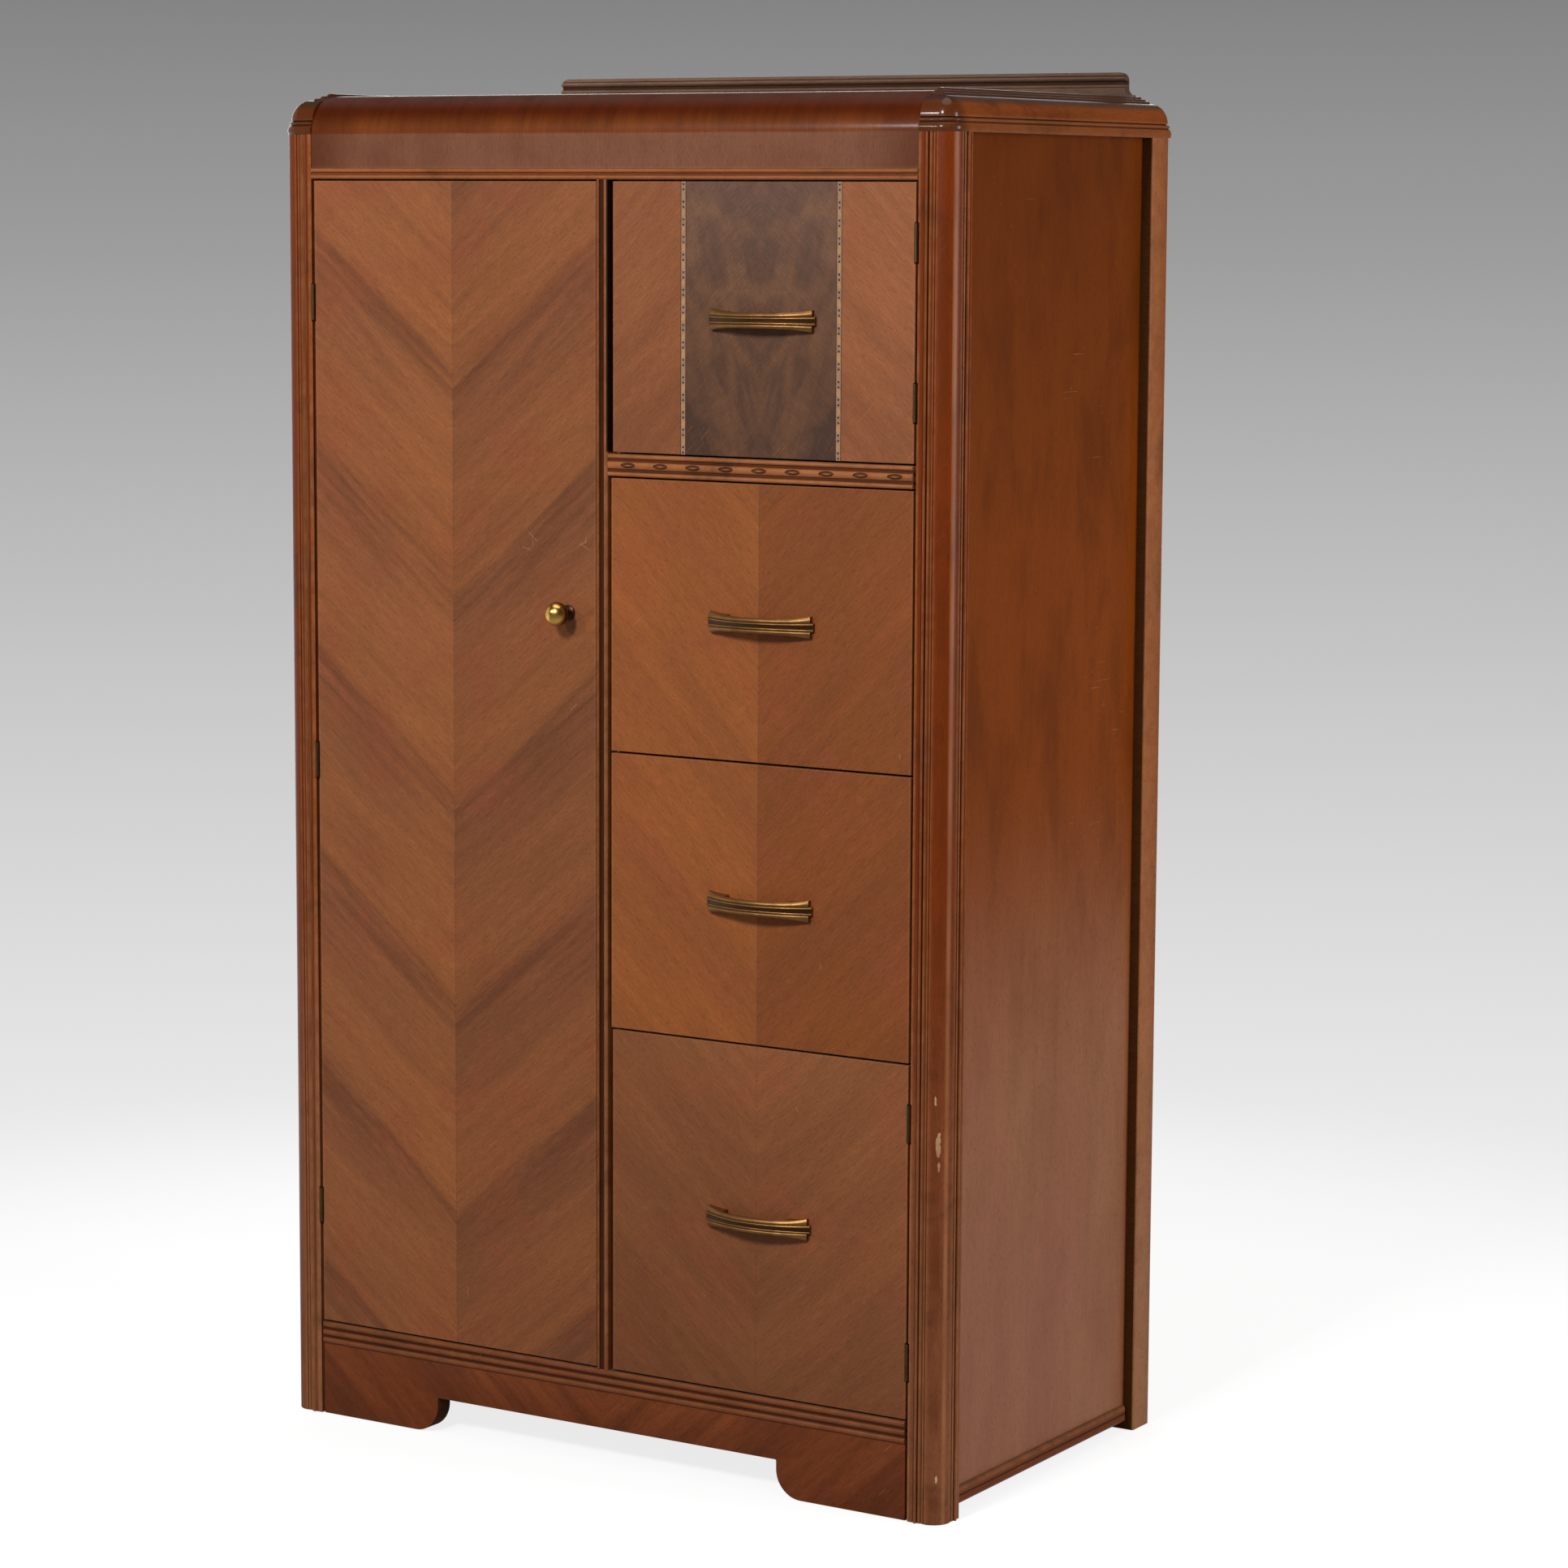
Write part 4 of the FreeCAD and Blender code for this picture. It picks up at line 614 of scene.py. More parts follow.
def hat_veneer(name):
    """Upper door: slanted outer leaves, two inlaid strips and a mirrored burl between."""
    desk = FrontFinish(name, 0.8, 0.2125, -45, 23.0)
    x, z, away = desk.x, desk.z, desk.leaf["Away"]
    side = float(corners("upper_door")[0][0])
    outer = desk.mix(desk.grain["Clouds"] * 0.4, "outer_panel", "tall_band")
    outer = desk.vector("SCALE", outer, x.ease(0.05, 0.35, 0.92, 1.06))
    # Painted shadow: black along the door's left edge, beside the upright moulding.
    outer = desk.mix(x.ease(side + 0.0012, side + 0.0002, 0.0, 0.9), outer, PAINTED_GAP_SHADOW)
    # Burl: mirrored about the seam, feathers that rise and lean outwards under slow clouds.
    lean = z * -0.32 + away
    cloud = desk.noise(desk.join(lean * 17.0, z * 9.0, 4.0), 1.0, 3.0, 0.55, 1.6)
    feather = desk.noise(desk.join(lean * 95.0, z * 10.0, 9.0), 1.0, 4.0, 0.6, 1.1)
    low_corner = away.ease(0.03, 0.1) * z.ease(1.34, 1.19)
    burl = feather.ease(0.28, 0.72) * 0.3 + cloud.ease(0.3, 0.7) * 0.7
    burl = desk.math("ADD", low_corner * -0.5, burl, clamp=True)
    centre = desk.layers("burl_dark", (burl, "burl_light"),
                         (z.ease(1.3, 1.5, 0.0, 0.3), "burl_smoke"))
    centre = desk.vector("SCALE", centre, z.ease(1.2, 1.5, 0.74, 0.9))
    # Inlay: a strip with dark edges; along it pairs of dots, and a golden lens between pairs.
    off = abs(away - INLAY_OFF)
    turn = z / INLAY_PITCH
    down = abs(turn.fract() - 0.5) * INLAY_PITCH
    bow = down / 0.0062
    lens = off < (1.0 - bow * bow) * 0.0021
    gold = desk.mix(desk.noise(desk.join(0.0, 0.0, turn.floor()), 3.7, 0.0), "inlay_gold",
                    "inlay_light")
    gap = down - 0.00685
    dot = gap * gap + off * off < 0.00125 ** 2
    desk.finish(desk.layers(outer, (away < INLAY_OFF, centre), (off < 0.0037, "inlay_dark"),
                            (off < 0.0029, desk.mix(lens, "inlay_light", gold)),
                            (dot, "inlay_dark")))


def plain_wood(name, axes, clouds, seed, gloss):
    """Plain wood of the inside, its grain along one axis."""
    desk = Finish(name, 0.8, specular=0.12)
    grain = desk.wood(axes, 0.0013, seed)
    desk.lacquer(desk.mix(grain["Clouds"] * clouds, "inside", "cupboard_leaf"), grain, gloss)


def side_veneer(name):
    """Upright veneer of the sides: painted shade towards the top, and painted light from the
    floor, paler and duller, near the floor.
    """
    desk = Finish(name, 0.8, specular=0.12)
    y, z = desk.y, desk.z
    grain = desk.wood("zyx", 0.0013, 31.0)
    tall = desk.join(desk.x, y * 1.7, z * 0.7)
    blotch = desk.noise(tall, 9.0, 3.0, 0.55, 0.3).ease(0.42, 0.72)
    red = desk.noise(tall, 4.0, 2.0, 0.5, 0.3).ease(0.3, 0.8, 0.1, 0.75)
    # Painted light from the floor: paler low on the side, with redder patches, except near the
    # rear post.
    low = z.ease(0.85, 0.42, 0.0, 0.9) * y.ease(REAR_Y - 0.035, REAR_Y - 0.06)
    ground = desk.layers("side", (low, desk.mix(red, "side_low", "side_red")),
                         # Painted shade: darker towards the top of the side.
                         (z.ease(0.95, 1.5, 0.0, 0.5), "side_dark"),
                         (blotch * z.ease(0.3, 1.2, 0.12, 0.6), "side_dark"),
                         (grain["Clouds"] * 0.12, "side_dark"))
    desk.lacquer(ground, grain, 0.24, streak=0.1, figure=0.04)


def top_veneer(name):
    """Straight veneer that runs up the fascia, over the roll and back along the top, from
    the piece's own run attribute, the distance along its profile."""
    desk = Finish(name, 0.5, coat=0.22, specular=0.1)
    run = desk.value("run")
    grain = desk.group("wood grain", Along=run, Across=desk.x, Width=0.0013, Seed=53.0)
    bend = desk.noise(desk.spot, 9.0) * 0.002 + run
    # Painted shade: the roll darkens towards the top as it turns up away from the light.
    roll = desk.layers("roll", (run.ease(0.043, 0.068), "roll_dark"),
                       (grain["Clouds"] * 0.4, "roll_dark"))
    smoke = desk.noise(desk.spot, 11.0, 3.0, 0.6).ease(0.4, 0.75, 0.0, 0.5)
    ground = desk.layers("fascia", (smoke, "tall_band"), (bend.ease(0.0396, 0.0422), roll),
                         (abs(desk.x).ease(0.33, 0.42, 0.0, 0.6), "roll_dark"))
    desk.lacquer(ground, grain, 0.26, streak=0.16, figure=bend.ease(0.04, 0.05, 0.06, 0.2))


def apron_veneer(name):
    """Veneer of the apron, its grain falling to the middle from both sides."""
    desk = Finish(name, 0.7, specular=0.08)
    leaf = desk.group("matched leaves", Seam=0.0, Angle=math.radians(42), Place=desk.spot)
    grain = desk.group("wood grain", Along=leaf["Along"], Across=leaf["Across"], Width=0.0014,
                       Seed=59.0)
    ground = desk.mix(grain["Clouds"] * 0.4 + 0.3, "apron_dark", "apron")
    desk.lacquer(ground, grain, 0.34, figure=0.2)


def stained(name, axes, seed, tone="moulding", coat=0.12, coat_roughness=0.3, pale=0.0,
            deep=0.7, wear=0.3):
    """Stained and lacquered solid wood with grain along one axis: dark in its hollows and in
    patches, paler on its crests, scuffed bare on the right post, and painted light: paler
    near the floor by the pale share, and greyer on top as a painted dark reflection."""
    desk = Finish(name, 0.7, coat=coat, coat_roughness=coat_roughness, specular=0.08)
    grain = desk.wood(axes, 0.0016, seed)
    patch = desk.noise(desk.spot, 12.0, 4.0, 0.6, 0.6).ease(0.5, 0.78, 0.0, 0.55)
    # Painted light from the floor: paler towards the bottom by the pale share.
    coats = [(desk.z.ease(0.8, 0.1, 0.0, pale), "side_low"),
             (grain["Clouds"] * 0.3, "side_dark"), (patch, "moulding_dark"),
             # Painted dark reflection on faces that look up.
             (desk.use["Up"] * 0.85, "top_bloom"),
             (desk.use["Hollows"] * deep, "moulding_dark")]
    # Scuffs: a point p is bare where |(p - centre) x stretch| plus a noise is small.
    flake = desk.noise(desk.spot, 150.0, 2.0, 0.6) * 1.6
    for x, z, stretch in ((-0.009, 0.436, (330, 200, 52)), (-0.0082, 0.411, (600, 300, 100)),
                          (-0.0122, 0.488, (480, 250, 95)), (-0.008, 0.052, (620, 200, 170))):
        from_centre = desk.vector("SUBTRACT", desk.spot, (POST_X + x, FACE_Y + 0.0038, z))
        far = desk.vector("LENGTH", desk.vector("MULTIPLY", from_centre, stretch))
        coats.append(((flake + far).ease(1.55, 1.45, 0.0, 0.9), "bare"))
    desk.lacquer(desk.layers(tone, *coats), grain, 0.26, streak=0.14, figure=0.12, wear=wear)
    return desk


def painted_shade_finish(name):
    """Painted shade, under a dull lacquer, on faces that lie in shade: the rear posts' front faces
    and the apron's rebate and arch.
    """
    desk = Finish(name, 0.5, specular=0.06)
    desk.lacquer("shade_wood", desk.wood("xzy", 0.002, 83.0), 0.5, wear=0.0)


def gallery_wood(name):
    """The stained wood of the gallery, darker than the rest and to the right."""
    desk = Finish(name, 0.4, specular=0.12)
    grain = desk.wood("xzy", 0.0016, 79.0)
    tone = desk.layers("gallery", (grain["Clouds"] * 0.4, "moulding_dark"),
                       (desk.use["Hollows"] * 0.8, "moulding_dark"))
    desk.lacquer(desk.vector("SCALE", tone, desk.x.ease(-0.05, 0.4, 1.35, 0.75)), grain, 0.3)


def stained_upright(name):
    """The front posts' stained wood, with painted shade and then a painted highlight in bands
    round their corners.
    """
    desk = stained(name, "zxy", 61.0, coat_roughness=0.35, pale=0.42, deep=0.6)
    turn = abs(desk.normal()[0])
    painted_light_noise = desk.noise(desk.spot, 14.0)
    # Painted shade part way round each corner, and a painted highlight near the side, both broken
    # up by noise.
    dark = turn.ease(0.1, 0.35, 0.0, 0.5) * turn.ease(0.8, 0.6)
    pale = turn.ease(0.78, 0.86) * turn.ease(0.96, 0.9)
    desk.paint((dark * painted_light_noise.ease(0.3, 0.7), "side_dark"),
               (pale * painted_light_noise.ease(0.2, 0.8, 0.15, 0.4), "worn_and_highlit"))


def stained_cap(name):
    """The caps' stained wood, with painted shade across the front and a painted dark reflection on
    the ribs at the top.
    """
    desk = stained(name, "yzx", 71.0, "cap_wood", coat=0.35, coat_roughness=0.12, deep=0.4,
                   wear=0.15)
    foot = float(POST_HIGH[2])
    # Painted shade across the cap's front, and a painted dark reflection on its top ribs.
    desk.paint((desk.y.ease(FACE_Y + 0.04, FACE_Y + 0.012, 0.0, 0.65), "moulding_dark"),
               (desk.z.ease(foot + 0.03, foot + 0.041, 0.0, 0.8), "top_bloom"))


def stained_centre(name):
    """The upright moulding's stained wood, with a painted black shadow beside the upper door."""
    desk = stained(name, "zxy", 61.0, "foot", deep=0.8)
    edge = float(corners("centre_moulding")[1][0])
    beside = desk.x.ease(edge - 0.0018, edge - 0.0006)
    # Painted shadow: black on the moulding's right edge, beside the upper door.
    desk.paint((beside * (desk.z > float(corners("upper_door")[0][2])), PAINTED_GAP_SHADOW))


def carved_level(name):
    """The level stained wood, with dark stain in the carved rings."""
    desk = stained(name, "xzy", 73.0, "reed")
    desk.paint((desk.value("cut"), "moulding_dark"))


def metal(name, tone, dark, rough, patina, metallic=1.0):
    """Metal with patina in its hollows, smudges and fine rubbing."""
    desk = Finish(name, 0.4, metallic=metallic)
    smudge = desk.noise(desk.spot, 60.0, 3.0, 0.6).ease(0.35, 0.75)
    desk.tone = tone
    desk.paint(((smudge * patina).larger(desk.use["Hollows"] * 0.7), dark))
    desk.feed(desk.shader["Roughness"], smudge * 0.1 + rough)
    desk.bump(desk.noise(desk.spot, 900.0), 0.05, 0.0001)
    return desk


def polished_brass(name):
    """The knob's brass, painted dark on the half that faces the door, for its shade and the shaded
    door it reflects.
    """
    desk = metal(name, "knob_brass", "brass", 0.24, 0.3)
    front = float(corners("door_knob")[0][1])
    # Painted shade on the back half of the ball.
    desk.paint((desk.y.ease(front + 0.007, front + 0.013, 0.0, 0.97), "brass_dark"))


# What makes each finish, and what it is given after the name.
FINISHES = {
    "tall door veneer": (tall_veneer,), "drawer veneer": (drawer_veneer,),
    "cupboard veneer": (cupboard_veneer,), "inlaid veneer": (hat_veneer,),
    "side veneer": (side_veneer,), "waterfall veneer": (top_veneer,),
    "apron veneer": (apron_veneer,), "gallery wood": (gallery_wood,),
    "stained upright": (stained_upright,), "stained cap": (stained_cap,),
    "stained centre": (stained_centre,), "stained shade": (painted_shade_finish,),
    "carved level": (carved_level,), "polished brass": (polished_brass,),
    "stained rear": (stained, "zxy", 65.0, "reed", 0.12, 0.3, 0.85, 0.5),
    "stained level": (stained, "xzy", 67.0, "reed", 0.12, 0.3, 0.0, 0.5, 0.12),
    "stained low": (stained, "xzy", 69.0, "foot", 0.12, 0.3, 0.0, 0.65, 0.15),
    "stained side": (stained, "yzx", 71.0, "foot"),
    "inside wood": (plain_wood, "yxz", 0.35, 37.0, 0.55),
    "inside upright": (plain_wood, "zyx", 0.35, 41.0, 0.55),
    "back ply": (plain_wood, "zxy", 0.5, 43.0, 0.6),
    "rod wood": (plain_wood, "xzy", 0.25, 47.0, 0.45),
    "dark bronze": (metal, "hinge_bronze", "brass_dark", 0.35, 0.6),
    "aged brass": (metal, "brass", "brass_dark", 0.42, 0.4),
    "dark channel": (metal, "channel", "brass_dark", 0.3, 0.3, 0.6),
    "plain steel": (metal, "steel", (0.1, 0.09, 0.08), 0.3, 0.3),
}


def finish_named(name):
    """The finish of that name, made the first time it is asked for."""
    if name not in bpy.data.materials:
        make, *given = FINISHES[name]
        make(name, *given)
    return bpy.data.materials[name]


# ---- Posts ------------------------------
def post_face(sizes):
    """One face of a front post from its inner edge: (distance, depth), a strip, a cove, a
    reed, a quirk and a fine reed."""
    w, deep, sink = sizes.strip_width, sizes.cove_depth, sizes.reed_sink
    cove_end, reed_end = w + 0.0045, w + 0.0087
    fine, end = w + 0.0099, w + 0.0131
    return path((0.0018, 0.0), (w - 0.0004, 0.0), (w, 0.0004),
                bead((w, 0.0004), (cove_end, sink), -(deep - sink / 2)),
                bead((cove_end, sink), (reed_end, sink), -sink),
                ((reed_end + fine) / 2, 2 * sink), (fine, sink),
                bead((fine, sink), (end, sink), -sink * 0.7, 7))


def front_post_outline(sizes, notched):
    """Plan of the right front post: its front face, a quarter circle, its side face and its
    back, with the inner corner cut away for a hinge where it is notched."""
    x0, x1, y0 = POST_LOW[0], POST_X, FACE_Y
    size, r = x1 - x0, sizes.corner_radius
    face = post_face(sizes)
    front = cols(x0 + face[:, 0], y0 + face[:, 1])
    side = cols(x1 - face[::-1, 1], y0 + size - face[::-1, 0])
    corner = ((0.0, 0.0038), (0.0015, 0.0036), (0.0016, 0.0002)) if notched else (
        (0.0, 0.0038), (0.0, 0.0007), (0.0007, 0.0))
    return path(np.array(corner) + (x0, y0), front, arc((x1 - r, y0 + r), r, -90, 0, 16), side,
                (x1, y0 + size - 0.0006), (x1 - 0.0006, y0 + size), (x0, y0 + size))


def notch_steps(low, high, hinges):
    """Heights of rings and whether each is notched: plain, with a step in and out at each
    hinge."""
    heights, notched = [low], [False]
    for z in sorted(hinges):
        foot, head = z - HINGE_HALF, z + HINGE_HALF
        heights += [foot - 1e-5, foot, head, head + 1e-5]
        notched += [False, True, True, False]
    return heights + [high], notched + [False]


class CHIFFOROBE_OT_front_posts(bpy.types.Operator):
    """Front corner posts: the reeded plan carried up, notched at the hinges"""
    bl_idname = "chifforobe.front_posts"
    bl_label = "Front posts"

    def execute(self, context):
        for side, sign, hinges in (("right", 1, UPPER_HINGES + LOWER_HINGES),
                                   ("left", -1, TALL_HINGES)):
            heights, notched = notch_steps(POST_LOW[2], POST_HIGH[2], hinges)
            rings = up([front_post_outline(context.scene.chifforobe_sizes, cut)
                        for cut in notched], heights)
            dress("reeded_front_post_" + side, [ring * (sign, 1, 1) for ring in rings],
                  "stained upright", "front_post_" + side)
        return {"FINISHED"}


class CHIFFOROBE_OT_rear_posts(bpy.types.Operator):
    """Rear corner posts: a square plan with eased corners carried up"""
    bl_idname = "chifforobe.rear_posts"
    bl_label = "Rear posts"

    def execute(self, context):
        (x0, y0, z0), (x1, y1, z1) = corners("rear_post_right")
        lap = x0 + 0.020
        plan = path((x0, y0), (x1 - 0.002, y0), arc((x1 - 0.002, y0 + 0.002), 0.002, -90, 0, 5),
                    arc((x1 - 0.006, y1 - 0.006), 0.006, 0, 90), (lap, y1), (lap, y1 - 0.006),
                    (x0, y1 - 0.006))
        # Each rear post's front face takes painted shade.
        dress_pair("plain", "rear_post", up([plan, plan], (z0, z1)),
                   "stained rear, stained shade", faces_by=lambda i, j: j == 0)
        return {"FINISHED"}


# ---- Mouldings ------------------------------
def reeds(start_z, widths, valley, proud, back_y):
    """Side view of level reeds (y, z): beads side by side with sunk valleys between."""
    parts, z, floor = [(back_y, start_z), (FACE_Y, start_z)], start_z, FACE_Y + VALLEY
    for index, width in enumerate(widths):
        if index:
            parts += [(floor, z), (floor, z + valley), (FACE_Y, z + valley)]
            z += valley
        parts.append(bead((FACE_Y, z), (FACE_Y, z + width), proud, 11))
        z += width
    return path(*parts, (back_y, z))


def level_front(profile, places, x0, x1):
    """How far forward (y) each point of a side view stands at each place, drawn back over
    the last millimetres as a quarter circle: max(y, face + end - sqrt(end^2 - (end - d)^2))."""
    near = np.minimum(places - x0, x1 - places)
    back = FACE_Y - 0.002 + END_ROUND - fallen(END_ROUND, END_ROUND - near)
    return np.maximum(profile[None, :, 0], back[:, None])


class CHIFFOROBE_OT_mouldings(bpy.types.Operator):
    """Level and upright reeded mouldings of the front, and the reeds along the sides' feet"""
    bl_idname = "chifforobe.mouldings"
    bl_label = "Reeded mouldings"

    def execute(self, context):
        proud = context.scene.chifforobe_sizes.moulding_proud
        steps = np.array((0.0, 0.15, 0.5, 1.0)) * END_ROUND
        valley = 0.0026
        for node, count, finish in (("frieze_moulding", 2, "stained level"),
                                    ("base_moulding", 3, "stained low")):
            (x0, _, z0), (x1, y1, z1) = corners(node)
            width = (z1 - z0 - (count - 1) * valley) / count
            profile = reeds(z0, [width] * count, valley, proud, y1)
            places = np.concatenate((x0 + steps, x1 - steps[::-1]))
            rings = cols(places[:, None], level_front(profile, places, x0, x1), profile[:, 1])
            dress("reeded_" + node, rings, finish, node)

        (x0, _, z0), (x1, y1, z1) = corners("centre_moulding")
        plan = reeds(x0, [0.0036, x1 - x0 - 0.0096], 0.006, proud, y1)[:, ::-1]
        dress("reeded_centre_moulding", up([plan, plan], (z0, z1)), "stained centre",
              "centre_moulding")

        (x0, y0, z0), (x1, y1, z1) = corners("side_base_moulding_right")
        bulge, sweep = 0.0022, 0.0085
        foot, half = x1 - bulge, (z1 - z0) / 2
        front = path((x0, z0), (foot, z0), bead((foot, z0), (foot, z0 + half), -bulge, 11),
                     bead((foot, z0 + half), (x1 - 0.004, z1), -bulge, 11), (x0, z1))
        y = np.concatenate((np.linspace(y0, y1 - sweep, 3),
                            y1 - sweep + sweep * np.sin(np.linspace(0.2, np.pi / 2, 8))))
        reach = np.maximum(fallen(sweep, y - (y1 - sweep)), 1e-4)
        rings = cols(np.minimum(front[:, 0], x0 + reach[:, None]), y[:, None], front[:, 1])
        dress_pair("reeded", "side_base_moulding", rings, "stained side")
        return {"FINISHED"}


class CHIFFOROBE_OT_carved_rail(bpy.types.Operator):
    """Carved rail: three reeds, with oval rings sunk into the wide middle one"""
    bl_idname = "chifforobe.carved_rail"
    bl_label = "Carved rail"

    def execute(self, context):
        (x0, _, z0), (x1, y1, z1) = corners("carved_rail")
        proud = context.scene.chifforobe_sizes.moulding_proud
        narrow, floor = 0.0053, FACE_Y + VALLEY
        a, b = z0 + 0.0086, z1 - 0.0086
        profile = path((y1, z0), (FACE_Y, z0), bead((FACE_Y, z0), (FACE_Y, z0 + narrow), proud),
                       (floor, z0 + narrow), (floor, a),
                       bead((FACE_Y, a), (FACE_Y, b), proud, 43), (floor, b),
                       (floor, z1 - narrow),
                       bead((FACE_Y, z1 - narrow), (FACE_Y, z1), proud), (y1, z1))
        centres = 0.037 + 0.044 * np.arange(9)
        local = np.linspace(-0.0102, 0.0102, 61)
        ends = np.array((0, 0.0003, 0.001, END_ROUND))
        places = np.sort(np.concatenate([(centres[:, None] + local).ravel(), x0 + ends,
                                         x1 - ends]))
        y = level_front(profile, places, x0, x1)
        # Ring of an oval: depth x step(outer oval) x step(inner oval), by elliptic radius.
        dx = np.abs(places[:, None] - centres[None, :]).min(1)[:, None]
        dz = profile[:, 1] - (z0 + z1) / 2
        outer = np.hypot(dx / 0.0095, dz / 0.0031)
        inner = np.hypot(dx / 0.0072, dz / 0.0013)

        def step(t):
            t = np.clip(t, 0, 1)
            return t * t * (3 - 2 * t)

        cut = step((1.1 - outer) / 0.25) * step((inner - 0.75) / 0.5)
        lens = step(1.6 - inner) * 0.0004 * (outer < 1)
        stain = np.maximum(np.clip(cut / 0.4, 0, 0.8), 0.55 * (outer < 1) * (inner > 0.5))
        y = np.where(profile[:, 0] < FACE_Y + 0.0005, y + 0.0013 * cut + lens, y)
        plain = hollows(cols(0.0, *profile.T))
        dress("carved_oval_rail", cols(places[:, None], y, profile[:, 1]), "carved level",
              "carved_rail", sharp=40,
              values={"cut": stain, "relief": np.tile(plain, len(places))})
        return {"FINISHED"}


# ---- Waterfall top, caps and gallery ------------------------------
class CHIFFOROBE_OT_waterfall_top(bpy.types.Operator):
    """Waterfall top: fascia, quarter-circle roll and flat top carried across as one panel"""
    bl_idname = "chifforobe.waterfall_top"
    bl_label = "Waterfall top"

    def execute(self, context):
        (x0, y0, z0), (x1, y1, z1) = corners("waterfall_top")
        r, thick = context.scene.chifforobe_sizes.roll_radius, 0.0195
        centre = (y0 + r, z1 - r)
        rise = np.concatenate(((z0, z0 + 0.003), np.linspace(z0 + 0.006, z1 - r, 5)))
        outer = path(cols(y0, rise), arc(centre, r, 180, 90, 28),
                     cols(np.linspace(y0 + r, y1, 12), z1))
        run = np.concatenate(([0], np.cumsum(np.hypot(*np.diff(outer, axis=0).T))))
        back = path((y1, z1 - thick), arc(centre, r - thick, 90, 180, 12), (y0 + thick, z0))
        profile = np.vstack((outer, back))
        value = np.concatenate((run, np.linspace(run[-1], 0, len(back))))
        places = np.linspace(x0, x1, 9)
        dress("waterfall_panel", [cols(x, *profile.T) for x in places], "waterfall veneer",
              "waterfall_top", slot="figured_veneer",
              values={"run": np.tile(value, len(places))})
        return {"FINISHED"}


def cap_outline(z):
    """Cap section from its foot: (distance in, height): reed, quirk, fine reed, quirk,
    quarter round and three ribs."""
    spring = z + 0.0163
    parts = [(0.0, z), bead((0.0, z), (0.0006, z + 0.0095), 0.0016, 13),
             (0.0024, z + 0.0103), (0.0020, z + 0.0111),
             bead((0.0020, z + 0.0111), (0.0026, z + 0.0147), 0.0014),
             (0.0052, z + 0.0155), (0.0038, spring),
             arc((CAP_START + CAP_ROUND, spring), CAP_ROUND, 180, 90, 26)]
    rib = np.array((0.0055, 0.00275))
    at = np.array((CAP_START + CAP_ROUND, spring + CAP_ROUND))
    for _ in range(3):
        parts.append(bead(at, at + rib, 0.0014))
        at = at + rib
    return path(*parts, (at[0], z))


class CHIFFOROBE_OT_end_caps(bpy.types.Operator):
    """End caps: the stepped section carried forward along the side, round the corner and
    across the post"""
    bl_idname = "chifforobe.end_caps"
    bl_label = "End caps"

    def execute(self, context):
        x1, y0, r = POST_X, FACE_Y, context.scene.chifforobe_sizes.corner_radius
        d, z = cap_outline(POST_HIGH[2]).T
        # Where a point lies further in than the corner's radius, its corner is a mitre.
        reach = np.maximum(r, d)
        rings = [cols(x1 - d, REAR_Y, z), cols(x1 - d, y0 + np.maximum(0.06, reach), z)]
        for t in np.radians(np.linspace(0, -90, 15)):
            rings.append(cols(x1 - reach + (reach - d) * np.cos(t),
                              y0 + reach + (reach - d) * np.sin(t), z))
        rings.append(cols(POST_LOW[0], y0 + d, z))
        dress_pair("stepped", "top_cap", rings, "stained cap", sharp=38)
        return {"FINISHED"}


class CHIFFOROBE_OT_gallery(bpy.types.Operator):
    """Gallery rail: a moulded section carried across, its ends swept by height"""
    bl_idname = "chifforobe.gallery"
    bl_label = "Gallery rail"

    def execute(self, context):
        (_, y0, z0), (end, y1, z1) = corners("gallery_rail")
        step, cove, r = z0 + 0.014, 0.009, 0.010
        reed, back = (z1 - step) / 6, y0 + 0.002
        plain = cols(y0, np.append(z0, np.linspace(step - cove, step, 11)))
        parts, z = [(back, step + 1e-5)], step
        for rows, height, lean, count in ((1, 0.5, 0, 7), (2, -1, 0, 11), (1.5, 0.5, 0, 9),
                                          (1.5, 0.5, 1, 13)):
            top = z + rows * reed
            parts.append(bead((back, z), (back + lean * reed, top), height * reed, count))
            z = top
        front = path(plain, *parts)
        section = np.vstack((front, cols(y1, front[::-1, 1])))
        z = section[:, 1]
        half = np.where(z <= step - cove, end, end - fallen(cove, step - z))
        top = end - cove - r + fallen(r, z - (z1 - r))
        half = np.where(z > step, top, half)
        rings = [cols(side * half, *section.T) for side in (-1, -0.33, 0.33, 1)]
        dress("moulded_gallery_rail", rings, "gallery wood", "gallery_rail", ends="ladder",
              sharp=38)
        return {"FINISHED"}


class CHIFFOROBE_OT_apron(bpy.types.Operator):
    """Apron: arch and bracket feet carried back, rebated at the ends to meet the posts"""
    bl_idname = "chifforobe.apron"
    bl_label = "Apron"

    def execute(self, context):
        (_, y0, _), (x, y1, top) = corners("apron")
        arch, r, head = x - 0.1715, 0.033, 0.0435
        right = path(arc((arch + r, r), r, 270, 180, 14), (arch, head - 0.001),
                     (arch - 0.001, head))
        outline = path((x, 0.0), (x, top), (-x, top), (-x, 0.0), right * (-1, 1), (0, head),
                       right[::-1])
        rings = []
        for back, shrink, tongue in ((0.0, 0.0010, 0.0), (0.0003, 0.0003, 0.0),
                                     (0.001, 0.0, 0.0), (0.007, 0.0, 0.0),
                                     (0.0071, 0.0, 0.003), (y1 - y0, 0.0, 0.003)):
            edge = inset(outline, shrink)
            edge[:4, 0] += tongue * np.array((1, 1, -1, -1))
            rings.append(cols(edge[:, 0], y0 + back, np.maximum(edge[:, 1], 0.0)))
        # The rebate's shoulder and the arch behind its eased edge take painted shade.
        dress("arched_apron", rings, "apron veneer, stained shade", "apron",
              slot="figured_veneer", values={"relief": np.zeros(len(rings) * len(outline))},
              faces_by=lambda i, j: (j > 3) & (i > 1) | (i == 3))
        return {"FINISHED"}


